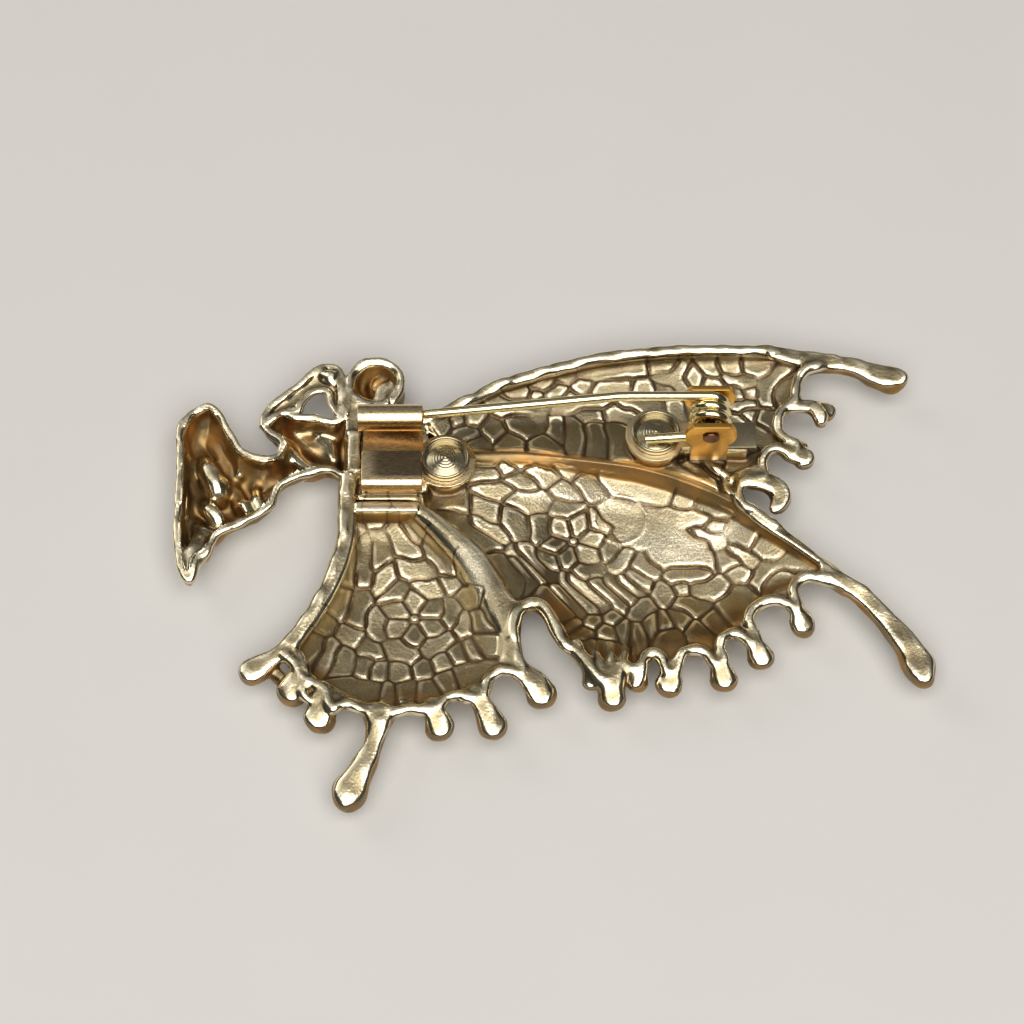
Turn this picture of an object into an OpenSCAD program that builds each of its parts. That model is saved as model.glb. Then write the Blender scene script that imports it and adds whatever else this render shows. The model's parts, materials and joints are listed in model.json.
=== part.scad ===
// A cast brooch: a winged figure in profile, seen from behind, with its pin finding.
// It lies face down: +Z is up out of the back, +X runs from the figure to the wing tips.
// Every table holds per cent of the named sizes of the piece that it describes.

/* [Upper wing] */
// Length of the upper wing from the root to its tail
wing_a_len = 40; // [36:0.5:44]
// Rise of the upper wing above the root line
wing_a_rise = 10; // [9:0.25:11.5]
// Depth of the upper wing's hollow below its rim
wing_a_dish = 2.2; // [1.6:0.1:2.6]

/* [Middle wing] */
// Length of the middle wing from the root to its tail
wing_b_len = 40; // [36:0.5:44]
// Drop of the middle wing below the root line
wing_b_drop = 20; // [18:0.5:22]
// Depth of the middle wing's hollow below its rim
wing_b_dish = 2.9; // [2.4:0.1:3.3]

/* [Lower wing] */
// Width of the lower wing across its fringe
wing_c_w = 20; // [18:0.5:22]
// Height of the lower wing from the catch down to its fringe
wing_c_h = 20; // [18:0.5:22]
// Depth of the lower wing's hollow below its rim
wing_c_dish = 2.7; // [2.1:0.1:3]

/* [Figure] */
// Width of the figure from the knee to the back of the head
figure_w = 20; // [18:0.5:22]
// Height of the figure from the hem to the crown
figure_h = 20; // [18:0.5:21.5]
// Depth of the figure's body below its rim
figure_d = 4; // [3:0.1:4]
// Wall between the figure's hollow and its outside
figure_wall = 0.7; // [0.5:0.05:0.9]

/* [Casting] */
// Thickness of the cast metal
metal_t = 1.14; // [0.9:0.05:1.3]
// Radius of the rounded lip along every edge
lip_r = 0.49; // [0.4:0.05:0.65]
// Height of the relief cells above the wings' floors
cell_h = 0.28; // [0.2:0.05:0.45]
// Gap between two relief cells
cell_gap = 0.3; // [0.2:0.05:0.5]

/* [Findings] */
// Distance between the two rivet heads that hold the findings
rivet_span = 18.16; // [17:0.1:19.5]
// Radius of the rivet heads
rivet_head_r = 2.1; // [1.9:0.05:2.3]
// Height of a rivet head above its plate
rivet_head_h = 0.7; // [0.5:0.05:0.9]
// Radius of the round eye of each plate round its rivet
eye_r = 2.6; // [2.5:0.05:2.8]
// Height of the findings' seats above the rims
seat_rise = 0.6; // [0.5:0.05:1]
// Thickness of the findings' sheet
sheet_t = 0.5; // [0.4:0.05:0.55]
// Clearance between findings and casting
fit_gap = 0.02; // [0.01:0.01:0.05]

/* [Seats] */
// Depth of the seats' metal below the rims
seat_depth = 3; // [2.4:0.1:3.2]
// Breadth of the cast chest behind the catch
chest_w = 8; // [7:0.1:9]
// Breadth of the block under the catch
catch_seat_w = 5.2; // [4.6:0.1:6]
// Breadth of the block under the hinge
hinge_seat_w = 2.8; // [2.4:0.1:3.2]
// Width of the cast bar and the ledge beside the catch
bar_w = 1.1; // [0.9:0.05:1.3]

/* [Catch] */
// Distance from the rivet to the far end of the catch
catch_reach = 7.58; // [7.2:0.1:8.2]
// Distance from the rivet's line back to the middle of the roll
catch_back = 3.5; // [3.2:0.1:3.9]
// Distance from the rivet's line forward to the fold of the flap
catch_front = 2.3; // [2:0.1:2.6]
// Outer radius of the fold
fold_r = 0.78; // [0.7:0.02:0.86]
// Length of the catch's roll
roll_len = 5.6; // [5:0.1:6.5]
// Outer radius of the catch's roll
roll_r = 1.19; // [1.1:0.05:1.4]
// Height of the roll's centre above its plate
roll_rise = 1.3; // [1.2:0.05:1.6]
// Depth of the turned-back flap
flap_depth = 2.7; // [2.2:0.1:3]

/* [Hinge] */
// Distance from the rivet to the hinge axis
hinge_reach = 4.5; // [4.4:0.1:5]
// Height of the hinge axis above its plate
hinge_rise = 3.6; // [3.4:0.1:4]
// Radius of the ears' round tops
ear_r = 2.2; // [2:0.05:2.4]
// Clearance between the coil and each ear
coil_gap = 0.08; // [0.05:0.01:0.15]
// Reach of the hinge's plate past the axis
strip_reach = 4.2; // [3.6:0.1:4.6]
// Width of the hinge's plate
strip_w = 2.5; // [2.2:0.1:2.8]
// Radius of the hinge rivet
hinge_pin_r = 0.42; // [0.35:0.01:0.5]

/* [Pin wire] */
// Radius of the pin's wire
wire_r = 0.42; // [0.35:0.01:0.5]
// Radius of the coil's middle line
coil_r = 1.4; // [1.3:0.05:1.5]
// Number of turns in the coil
coil_turns = 2.5; // [2.5:1:2.5]
// Reach of the pin's point past the catch's near end
point_reach = 4.6; // [3.5:0.1:5]
// Length of the pin's level run beside the coil
level_run = 7.5; // [6:0.5:9]

/* [Hidden] */
gold = "#c9a961";
bright_gold = "#dcb765";
fine = 48;
pct = 0.01;
// Height of the rims above the surface that the brooch lies on, and of the findings' seats
rim_z = max(wing_b_dish + metal_t, figure_d);
seat_z = rim_z + seat_rise;

// Upper wing: along the wing, upper edge, lower edge, share of the dish
WING_A = [
  [-4, 30, -8, 20], [3, 43, -6, 40], [8, 56, 0, 60], [13, 68, 0, 80], [19, 76, 0, 90],
  [25, 84, -1, 100], [33, 92, -6, 100], [40, 97, -10, 100], [48, 101, -17, 100], [53, 103, -25, 98],
  [58, 104, -34, 97], [63, 104, -44, 96], [66, 104, -45, 90], [70, 103, -20, 80],
  [73, 103, 0, 70], [75, 102, 22, 60], [78, 102, 54, 50], [80, 101, 72, 30], [84, 98, 83, 10]
];
// Middle wing: along the wing, upper edge, lower edge, share of the dish
WING_B = [
  [-5, -2, -28, 15], [0, -3, -34, 20], [5, -2, -44, 25], [10, 0, -56, 35],
  [14, 0, -77, 40], [17.5, 0, -75, 45], [20, 0, -73, 50],
  [22.5, 0, -76, 55], [25.5, -1, -87, 65], [30, -2, -99, 80], [34, -4, -106, 90],
  [39, -5, -105, 100], [45.5, -7, -95, 100], [49, -9, -99, 100], [54, -13, -93, 100],
  [59, -18, -95, 95], [63, -21, -86, 90], [67, -29, -84, 80], [71.5, -38, -71, 60],
  [76, -43, -67, 45], [79, -48, -63, 30], [83, -56, -63, 10]
];
// Lower wing: down the wing, left edge, right edge, share of the dish
WING_C = [
  [0, -33, 0, 40], [-10, -31, 2, 70], [-20, -30, 14, 90], [-30, -32, 25, 97],
  [-40, -35, 32, 99], [-50, -39, 35, 100], [-60, -45, 38, 95], [-68, -50, 42, 85],
  [-75, -53, 43, 75], [-82, -55, 42, 65], [-88, -47, 36, 50], [-93, -37, 28, 35],
  [-98, -28, 18, 20], [-101, -17, 7, 10]
];
// Figure, leg and skirt: left point, right point, share of the figure's depth
SKIRT = [
  [[-65, -63], [-63, -62], 20], [[-68, -57], [-61, -57], 35], [[-70, -50], [-57, -49], 55],
  [[-72, -41], [-53, -41], 75], [[-73, -33], [-42, -35], 90], [[-73, -20], [-31, -26], 100],
  [[-74, -5], [-36, -8], 100], [[-75, 4], [-46, 0], 95], [[-75, 10], [-51, 7], 85],
  [[-73, 15], [-55, 14], 70], [[-68, 20], [-59, 20], 45], [[-65, 21], [-61, 21], 25]
];
// Figure, thigh and body up to the neck: outer point, inner point, share of the depth
BODY = [
  [[-52, 4], [-40, -24], 60], [[-40, -3], [-33, -26], 75], [[-34, -5], [-29, -19], 80],
  [[-30, -4], [-22, -14], 80], [[-28, 1], [-15, -12], 85], [[-32, 8], [-10, -10], 90],
  [[-36, 12], [-3, -9], 95], [[-34, 17], [2, -4], 100], [[-26, 17], [6, 2], 100],
  [[-15, 16], [7, 9], 95], [[-5, 17], [10, 14], 80], [[-3, 24], [12, 20], 70],
  [[-2, 30], [18, 24], 80], [[1, 37], [24, 31], 90], [[4, 43], [23, 39], 75],
  [[9, 46], [19, 44], 45], [[12, 47], [16, 46], 20]
];
// Figure, bent arm from the elbow to the hand and back to the shoulder
ARM = [
  [[-38, 14], [-29, 17], 40], [[-35, 21], [-25, 19], 45], [[-27, 29], [-20, 23], 45],
  [[-20, 36], [-15, 29], 45], [[-13, 42], [-10, 28], 50], [[-6, 42], [-8, 27], 50],
  [[-3, 35], [-8, 24], 45], [[0, 27], [-7, 20], 45], [[3, 20], [-6, 14], 45]
];
// Ridges of the legs and folds inside the figure: from, to, radius in mm
FOLDS = [
  [[-63, 0], [-55, -20], 0.7], [[-60, -22], [-54, -34], 0.7], [[-59, 6], [-49, -16], 0.4],
  [[-52, -12], [-44, -28], 0.45], [[-43, -14], [-37, -26], 0.45]
];

// Notches between drips: place and radius of the round gap, in mm
NOTCH_A = [[[79.5, 23], 1.5], [[74, -17], 1.1], [[69, -48], 1.0]];
NOTCH_B = [
  [[20, -83], 1.2], [[45.5, -103], 0.9], [[54, -102], 1.3], [[63, -95], 1.3], [[71.5, -80], 1.8]
];
NOTCH_C = [
  [[-54, -84], 0.9], [[-25, -107], 1.2], [[0, -112], 1.6], [[19, -104], 1.1], [[39, -94], 1.5]
];
// Drips: root, end, radius of the end in mm
DRIP_A = [
  [[75, 37], [84.5, 38], 0.8], [[73, -1], [79, -4], 0.9], [[68, -30], [73.5, -36], 0.9]
];
DRIP_B = [
  [[34, -100], [37, -115], 1.1], [[41, -102], [42, -108], 0.9], [[50, -98], [49, -109], 1.0],
  [[59, -95], [60.5, -107], 1.0], [[67, -84], [68.5, -97], 1.0], [[76, -66], [77.5, -82], 1.0]
];
DRIP_C = [
  [[-54, -77], [-67, -85], 1.1], [[-45, -87], [-50, -94], 1.0], [[-35, -93], [-38, -106], 1.1],
  [[9, -100], [12, -111], 1.1], [[27, -95], [34, -110], 1.1], [[46, -84], [54, -95], 1.2]
];
// Tails: place and radius in mm, from the wing to the tip
TAIL_A = [
  [[80, 88], 1], [[84, 91], 0.7], [[89, 88], 0.65], [[93, 83], 0.75], [[96, 79], 0.95],
  [[100, 76], 1.2], [[102.5, 74], 0.8], [[103.4, 73], 0.3]
];
TAIL_B = [
  [[78, -54], 1.3], [[83, -60], 0.85], [[90, -69], 0.8], [[95.5, -81], 0.95],
  [[99.5, -92], 1.1], [[101.7, -102], 1.2], [[102.6, -107], 0.8], [[102.8, -109], 0.3]
];
TAIL_C = [
  [[-14, -100], 1], [[-14, -110], 0.65], [[-16, -119], 0.75], [[-20, -128], 0.9],
  [[-24.5, -138], 1.3], [[-26.5, -143], 0.8], [[-27, -145], 0.3]
];

// Relief of the wings: start and end along the wing, start and end across it, cells, lean
CELLS_A = [
  [6, 42, 52, 88, 6, 4], [14, 31, 22, 47, 4, 3], [31, 47, 10, 32, 1, 0], [33, 48, 36, 48, 2, 2],
  [49, 74, 8, 27, 4, 3], [50, 73, 31, 48, 4, -3], [74, 79, 20, 70, 1, 0]
];
CELLS_B = [
  [7, 24, 4, 20, 5, 1], [7, 23, 24, 38, 3, 3], [7, 20, 42, 56, 3, 3], [34, 50, 10, 24, 2, 2],
  [16, 23, 60, 88, 3, 3], [23.5, 30, 62, 90, 3, 2], [31, 50, 64, 75, 5, 1],
  [31, 59, 78, 89, 7, 0], [52, 62, 60, 74, 2, 1], [64, 74, 30, 52, 2, -2],
  [62, 73, 58, 80, 3, 0], [75, 80, 24, 62, 1, 0]
];
CELLS_C = [
  [-22, -46, 9, 24, 1, 0], [-22, -38, 28, 42, 1, 0], [-18, -34, 46, 64, 1, 0],
  [-16, -26, 68, 92, 1, 0], [-30, -42, 70, 92, 1, 3], [-48, -56, 9, 22, 1, 0],
  [-58, -66, 9, 22, 1, 0], [-44, -56, 78, 94, 2, 2], [-58, -76, 78, 92, 3, 2],
  [-68, -78, 8, 20, 2, 0]
];
// Rows of small cells that arc above the lower fringe: down the wing, from, to, cells
ARCS_C = [[-80, 22, 92, 8], [-89, 22, 88, 7]];
// Six-leaved rosettes: place along and across the wing, and radius in mm
rosette_b = [29.5, 36];
rosette_c = [-60, 46];
rosette_r = 3.5;
// Bright dome at the head of the lower wing, and the round cells of the middle wing
dome_c = [-14, 22];
rounds_b = [[63, 78], [53, 14]];

// Places in the frame of the wings' root
root_c = [-2, -4];
root_f = [-8, 0];
function in_a(p) = [p[0] * wing_a_len, p[1] * wing_a_rise] * pct;
function in_b(p) = [p[0] * wing_b_len, p[1] * wing_b_drop] * pct;
function in_c(p) = root_c + [p[0] * wing_c_w, p[1] * wing_c_h] * pct;
function in_f(p) = root_f + [p[0] * figure_w, p[1] * figure_h] * pct;

// The brooch's box, whose middle goes to the origin
bulb_b = TAIL_B[5];
tip_c = TAIL_C[6];
box_left = in_f([-75, 0])[0];
box_right = in_b(bulb_b[0])[0] + bulb_b[1];
box_top = in_a([0, 104])[1] + lip_r;
box_low = in_c(tip_c[0])[1];
box_mid = [(box_left + box_right) / 2, (box_low + box_top) / 2];

// Findings, in the frame of the wings' root
rivet_1 = [0.68, -1.83];
rivet_2 = [rivet_1[0] + rivet_span, 0.74];
plate_z = seat_z + fit_gap;
plate_top = plate_z + sheet_t;
roll_x0 = rivet_1[0] - catch_reach;
roll_y = rivet_1[1] + catch_back;
roll_z = plate_top + roll_rise;
axis_x = rivet_2[0] + hinge_reach;
axis_z = plate_top + hinge_rise;
stem_y = roll_y;
coil_pitch = 2 * wire_r + fit_gap * 2;
coil_end_y = stem_y - coil_pitch * coil_turns;
ear_y = coil_end_y - wire_r - coil_gap - sheet_t;
far_ear_y = stem_y + wire_r + coil_gap;
coil_top = axis_z + coil_r;

// Points and shapes
function unit(v) = v / norm(v);
function mix(a, b, k) = a + (b - a) * k;
function ease(k) = k <= 0 ? 0 : k >= 1 ? 1 : k * k * (3 - 2 * k);
function raised(p, z) = [p[0], p[1], z];
function turns_left(a, b) = a[0] * b[1] - a[1] * b[0] > 0;

// A solid between two equal grids of points, the upper one first
module slab(top, under) {
  n = len(top);
  m = len(top[0]);
  points = concat([for (row = top) for (p = row) p], [for (row = under) for (p = row) p]);
  half = n * m;
  edge = concat(
    [for (j = [0:m - 1]) j], [for (i = [1:n - 1]) i * m + m - 1],
    [for (j = [m - 2:-1:0]) (n - 1) * m + j], [for (i = [n - 2:-1:1]) i * m]
  );
  faces = concat(
    [for (i = [0:n - 2]) for (j = [0:m - 2]) for (k = [0, 1])
      k == 0 ? [i * m + j, i * m + j + 1, (i + 1) * m + j + 1]
        : [i * m + j, (i + 1) * m + j + 1, (i + 1) * m + j]],
    [for (i = [0:n - 2]) for (j = [0:m - 2]) for (k = [0, 1])
      k == 0 ? [half + i * m + j, half + (i + 1) * m + j + 1, half + i * m + j + 1]
        : [half + i * m + j, half + (i + 1) * m + j, half + (i + 1) * m + j + 1]],
    [for (e = [0:len(edge) - 1]) for (k = [0, 1]) let (a = edge[e], b = edge[(e + 1) % len(edge)])
      k == 0 ? [a, half + b, b] : [a, half + a, half + b]]
  );
  polyhedron(points, faces);
}

// A round rod through points, with a radius at each
module rod(path, radii, sides = 7) {
  n = len(path);
  rings = [for (i = [0:n - 1])
    let (
      ahead = unit(path[min(i + 1, n - 1)] - path[max(i - 1, 0)]),
      side = unit([-ahead[1], ahead[0], 0]),
      up = cross(ahead, side)
    )
    for (s = [0:sides - 1])
      path[i] + radii[i] * (cos(360 * s / sides) * side + sin(360 * s / sides) * up)];
  faces = concat(
    [[for (s = [0:sides - 1]) s]],
    [for (i = [0:n - 2]) for (s = [0:sides - 1]) for (k = [0, 1])
      let (a = i * sides + s, b = i * sides + (s + 1) % sides)
      k == 0 ? [a, a + sides, b] : [b, a + sides, b + sides]],
    [[for (s = [sides - 1:-1:0]) (n - 1) * sides + s]]
  );
  polyhedron(rings, faces);
}

// A trough through sections, each with a left point, a right point and a depth
module trough(sections, lift, inset, bottom) {
  arc = 5;
  rings = [for (s = sections)
    let (
      across = unit(s[1] - s[0]),
      wall = min(inset, norm(s[1] - s[0]) * 0.3),
      a = s[0] + across * wall,
      b = s[1] - across * wall,
      depth = max(s[2] - bottom, 0.3)
    )
    [for (k = [0:arc]) let (t = k / arc, p = mix(a, b, t))
      raised(p, rim_z - depth * pow(sin(180 * t), 0.6))]];
  n = len(rings);
  // Each ring is closed by its two top corners, and runs the other way round if the trough turns
  left = turns_left(sections[0][1] - sections[0][0], sections[1][0] - sections[0][0]);
  loops = [for (r = rings) let (loop = concat([r[0] + [0, 0, lift]], r, [r[arc] + [0, 0, lift]]))
    [for (k = [0:len(loop) - 1]) loop[left ? len(loop) - 1 - k : k]]];
  m = arc + 3;
  points = [for (l = loops) for (p = l) p];
  faces = concat(
    [[for (j = [0:m - 1]) j]],
    [for (i = [0:n - 2]) for (j = [0:m - 1]) for (k = [0, 1])
      let (p = i * m + j, q = i * m + (j + 1) % m)
      k == 0 ? [p, p + m, q] : [q, p + m, q + m]],
    [[for (j = [m - 1:-1:0]) (n - 1) * m + j]]
  );
  polyhedron(points, faces);
}

// Height of a wing's floor under its rim, as a share, across it from edge to edge
function bowl_a(u) = ease(u / 0.14) * ease((1 - u) / 0.18);
function bowl_b(u) = ease(u / 0.16) * (1 - 0.75 * ease((u - 0.6) / 0.4));
function bowl_c(u) = ease(u / 0.16) * ease((1 - u) / 0.25);
// The table's row at a place along the wing, between the two rows beside it
function row_at(table, v, i = 1) =
  i == len(table) - 1 || (table[i][0] - v) * (table[1][0] - table[0][0]) >= 0
  ? mix(table[i - 1], table[i], (v - table[i - 1][0]) / (table[i][0] - table[i - 1][0]))
  : row_at(table, v, i + 1);
function floor_a(v, u) = let (r = row_at(WING_A, v))
  raised(in_a([v, mix(r[1], r[2], u)]), rim_z - wing_a_dish * r[3] * pct * bowl_a(u));
function floor_b(v, u) = let (r = row_at(WING_B, v))
  raised(in_b([v, mix(r[1], r[2], u)]), rim_z - wing_b_dish * r[3] * pct * bowl_b(u));
function floor_c(v, u) = let (r = row_at(WING_C, v))
  raised(in_c([mix(r[1], r[2], u), v]), rim_z - wing_c_dish * r[3] * pct * bowl_c(u));
ACROSS = [0, 0.065, 0.165, 0.52, 0.84, 1];

// One relief cell between four corners of a wing's floor, with its sides drawn in at the top
module cell(corners, ground) {
  mid = (corners[0] + corners[1] + corners[2] + corners[3]) / 4;
  top = [for (c = corners) mix(c, mid, min(0.3, cell_gap / norm(c - mid))) + [0, 0, cell_h]];
  low = [for (c = corners) mix(c, mid, min(0.15, cell_gap / 2 / norm(c - mid))) - [0, 0, ground]];
  hull() slab([[top[0], top[1]], [top[3], top[2]]], [[low[0], low[1]], [low[3], low[2]]]);
}

module cells_a() {
  for (b = CELLS_A, i = [0:b[4] - 1]) {
    v0 = mix(b[0], b[1], i / b[4]);
    v1 = mix(b[0], b[1], (i + 1) / b[4]);
    u0 = b[2] * pct;
    u1 = b[3] * pct;
    cell([floor_a(v0, u0), floor_a(v0 + b[5], u1), floor_a(v1 + b[5], u1), floor_a(v1, u0)], 0.4);
  }
}

module cells_b() {
  for (b = CELLS_B, i = [0:b[4] - 1]) {
    v0 = mix(b[0], b[1], i / b[4]);
    v1 = mix(b[0], b[1], (i + 1) / b[4]);
    u0 = b[2] * pct;
    u1 = b[3] * pct;
    cell([floor_b(v0, u0), floor_b(v0 + b[5], u1), floor_b(v1 + b[5], u1), floor_b(v1, u0)], 0.4);
  }
}

module cells_c() {
  for (b = CELLS_C, i = [0:b[4] - 1]) {
    v0 = mix(b[0], b[1], i / b[4]);
    v1 = mix(b[0], b[1], (i + 1) / b[4]);
    u0 = b[2] * pct;
    u1 = b[3] * pct;
    cell([floor_c(v0, u0), floor_c(v0 + b[5], u1), floor_c(v1 + b[5], u1), floor_c(v1, u0)], 0.4);
  }
  for (row = ARCS_C, i = [0:row[3] - 1]) {
    u0 = mix(row[1], row[2], i / row[3]) * pct;
    u1 = mix(row[1], row[2], (i + 1) / row[3]) * pct;
    sag0 = 12 * (sin(180 * u0) - 1);
    sag1 = 12 * (sin(180 * u1) - 1);
    cell([
      floor_c(row[0] - sag0, u0), floor_c(row[0] - sag0 - 8, u0),
      floor_c(row[0] - sag1 - 8, u1), floor_c(row[0] - sag1, u1)
    ], 0.4);
  }
}

// A rosette of six leaves in a ring of six more, on a floor that is nearly level
module rosette(centre) {
  for (i = [0:5]) {
    out = [cos(60 * i), sin(60 * i), 0] * rosette_r;
    next = [cos(60 * i + 60), sin(60 * i + 60), 0] * rosette_r;
    tip = (out + next) * 0.5;
    cell([centre, centre + out * 0.5, centre + tip * 0.72, centre + next * 0.5], 0.5);
    cell([
      centre + out * 0.5, centre + out * 0.98, centre + tip * 1.1, centre + tip * 0.72
    ], 0.5);
  }
}

// The lip along a notch, as an arc over it
function arc_over(centre, r, z, from, to, steps = 3) = [for (k = [0:steps])
  let (a = mix(from, to, k / steps))
  [centre[0] + r * cos(a), centre[1] + r * sin(a), z]];

module lip(path) {
  rod(path, [for (p = path) lip_r], 5);
}

// A drip: a neck from the lip that swells to a round end
module drip(root, end, r, z) {
  tip = end + unit(end - root) * r * 0.75;
  rod([raised(root, z), raised(mix(root, end, 0.4), z - 0.1), raised(mix(root, end, 0.75), z - 0.3),
      raised(end, z - 0.4), raised(tip, z - 0.5)],
    [lip_r * 1.4, lip_r * 1.1, r * 0.85, r, r * 0.4], 6);
}

// A wing's sheet between its floor and its front
module wing_sheet(table, kind) {
  top = [for (r = table) [for (u = ACROSS)
    kind == "a" ? floor_a(r[0], u) : kind == "b" ? floor_b(r[0], u) : floor_c(r[0], u)]];
  under = [for (row = top) [for (p = row) p - [0, 0, metal_t]]];
  if (kind == "c") slab([for (row = top) [for (p = row) p]], under);
  else slab(under, top);
}

module wing_a() {
  z = rim_z - lip_r / 2;
  wing_sheet(WING_A, "a");
  cells_a();
  lip([for (r = WING_A) raised(in_a([r[0], r[1]]), z)]);
  for (i = [0:len(NOTCH_A) - 1]) {
    n = NOTCH_A[i];
    lip(arc_over(in_a(n[0]), n[1] + lip_r, z, 100, 260));
  }
  lip([raised(in_a([84, 84]), z), raised(in_a([80, 72]), z), raised(in_a([78, 55]), z),
    raised(in_a([76, 37]), z)]);
  for (d = DRIP_A) drip(in_a(d[0]), in_a(d[1]), d[2], z);
  rod([for (t = TAIL_A) raised(in_a(t[0]), z)], [for (t = TAIL_A) t[1]]);
}

module wing_b() {
  z = rim_z - lip_r / 2;
  wing_sheet(WING_B, "b");
  cells_b();
  centre_b = floor_b(rosette_b[0], rosette_b[1] * pct);
  rosette(centre_b);
  for (p = rounds_b) translate(floor_b(p[0], p[1] * pct)) scale([1, 1, 0.4]) sphere(r = 1.2, $fn = 8);
  lip([for (r = WING_B) raised(in_b([r[0], r[1]]), z)]);
  low_z = rim_z - lip_r / 2;
  for (i = [0:len(NOTCH_B) - 1]) {
    n = NOTCH_B[i];
    lip(arc_over(in_b(n[0]), n[1] + lip_r, low_z, 190, -10));
  }
  lip([raised(in_b([23.5, -80]), low_z), raised(in_b([26, -92]), low_z),
    raised(in_b([30, -100]), low_z), raised(in_b([33, -106]), low_z)]);
  lip([raised(in_b([75.5, -68]), low_z), raised(in_b([79, -62]), low_z),
    raised(in_b([84, -65]), low_z)]);
  for (d = DRIP_B) drip(in_b(d[0]), in_b(d[1]), d[2], low_z);
  rod([for (t = TAIL_B) raised(in_b(t[0]), rim_z - 0.6)], [for (t = TAIL_B) t[1]]);
}

module wing_c() {
  z = rim_z - lip_r / 2;
  wing_sheet(WING_C, "c");
  cells_c();
  rosette(floor_c(rosette_c[0], rosette_c[1] * pct));
  translate(floor_c(dome_c[0], dome_c[1] * pct)) scale([1, 1, 0.5]) sphere(r = 1, $fn = 8);
  lip(concat([raised(in_c([-40, 10]), z), raised(in_c([-36, 5]), z)],
    [for (i = [0:9]) raised(in_c([WING_C[i][1], WING_C[i][0]]), z)]));
  // The smooth rib between the lower and the middle wing
  rod([for (i = [1:7]) raised(in_c([WING_C[i][2], WING_C[i][0]]), rim_z - 0.7)],
    [for (i = [1:7]) 0.9]);
  low_z = rim_z - lip_r / 2;
  for (i = [0:len(NOTCH_C) - 1]) {
    n = NOTCH_C[i];
    lip(arc_over(in_c(n[0]), n[1] + lip_r, low_z, 190, -10));
  }
  lip([raised(in_c([42, -62]), low_z), raised(in_c([44, -74]), low_z),
    raised(in_c([46, -84]), low_z)]);
  for (d = DRIP_C) drip(in_c(d[0]), in_c(d[1]), d[2], low_z);
  rod([for (t = TAIL_C) raised(in_c(t[0]), rim_z - 0.9)], [for (t = TAIL_C) t[1]]);
}

function sections_f(table) = [for (s = table)
  [in_f(s[0]), in_f(s[1]), s[2] * pct * figure_d]];
// The same sections with the two ends drawn in, so that the hollow stops short of the outside
function drawn_in(s) = let (n = len(s) - 1)
  [for (i = [0:n]) i == 0 ? mix(s[0], s[1], 0.3) : i == n ? mix(s[n], s[n - 1], 0.3) : s[i]];

module figure() {
  difference() {
    union() {
      trough(sections_f(SKIRT), 0.3, 0, 0);
      trough(sections_f(BODY), 0.3, 0, 0);
      trough(sections_f(ARM), 0.2, 0, 0);
    }
    trough(drawn_in(sections_f(SKIRT)), 2, figure_wall, figure_wall);
    trough(drawn_in(sections_f(BODY)), 2, figure_wall, figure_wall);
  }
  for (f = FOLDS)
    rod([raised(in_f(f[0]), rim_z - 2.4), raised(in_f(mix(f[0], f[1], 0.5)), rim_z - 1.9),
      raised(in_f(f[1]), rim_z - 2.4)], [f[2] * 0.7, f[2], f[2] * 0.7], 6);
}

// Seats, posts and turned rivet heads, cast or spun in one with the body
module rivet_post(centre) {
  translate([centre[0], centre[1], rim_z - seat_depth])
    cylinder(r = rivet_head_r * 0.55, h = plate_top - rim_z + seat_depth + rivet_head_h / 2, $fn = 16);
  translate(raised(centre, plate_top + fit_gap))
    cylinder(r = rivet_head_r, h = rivet_head_h, $fn = 24);
  translate(raised(centre, rim_z - seat_depth))
    cylinder(r = eye_r, h = seat_rise + seat_depth, $fn = 14);
}

module seats() {
  bar_top = rim_z + seat_rise / 2;
  bar_low = rim_z - seat_depth + seat_rise;
  fold_y = rivet_1[1] - catch_front;
  rivet_post(rivet_1);
  rivet_post(rivet_2);
  // Chest behind the catch, the block under it, and the bar beside it
  translate([roll_x0 - bar_w * 1.2, fold_y - seat_rise, rim_z - seat_depth * 0.87])
    cube([roll_len + bar_w * 2, chest_w, seat_depth * 0.73]);
  translate([roll_x0 + bar_w * 0.3, fold_y - seat_rise * 0.75, rim_z - seat_depth])
    cube([roll_len + bar_w * 0.6, catch_seat_w, seat_rise + seat_depth]);
  translate([roll_x0 - bar_w * 0.8, fold_y + seat_rise, bar_low])
    cube([bar_w, catch_seat_w, bar_top - bar_low]);
  // Ledge below the catch
  translate([roll_x0 - bar_w * 0.2, fold_y - bar_w * 2.1, bar_low])
    cube([roll_len, bar_w, bar_top - bar_low]);
  // Block under the hinge
  translate([rivet_2[0], rivet_2[1] - hinge_seat_w / 2, rim_z - seat_depth])
    cube([hinge_reach + strip_reach - seat_rise, hinge_seat_w, seat_rise + seat_depth]);
}

module casting() {
  color(gold) translate([-box_mid[0], -box_mid[1], 0]) {
    wing_a();
    wing_b();
    wing_c();
    figure();
    seats();
  }
}

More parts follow.
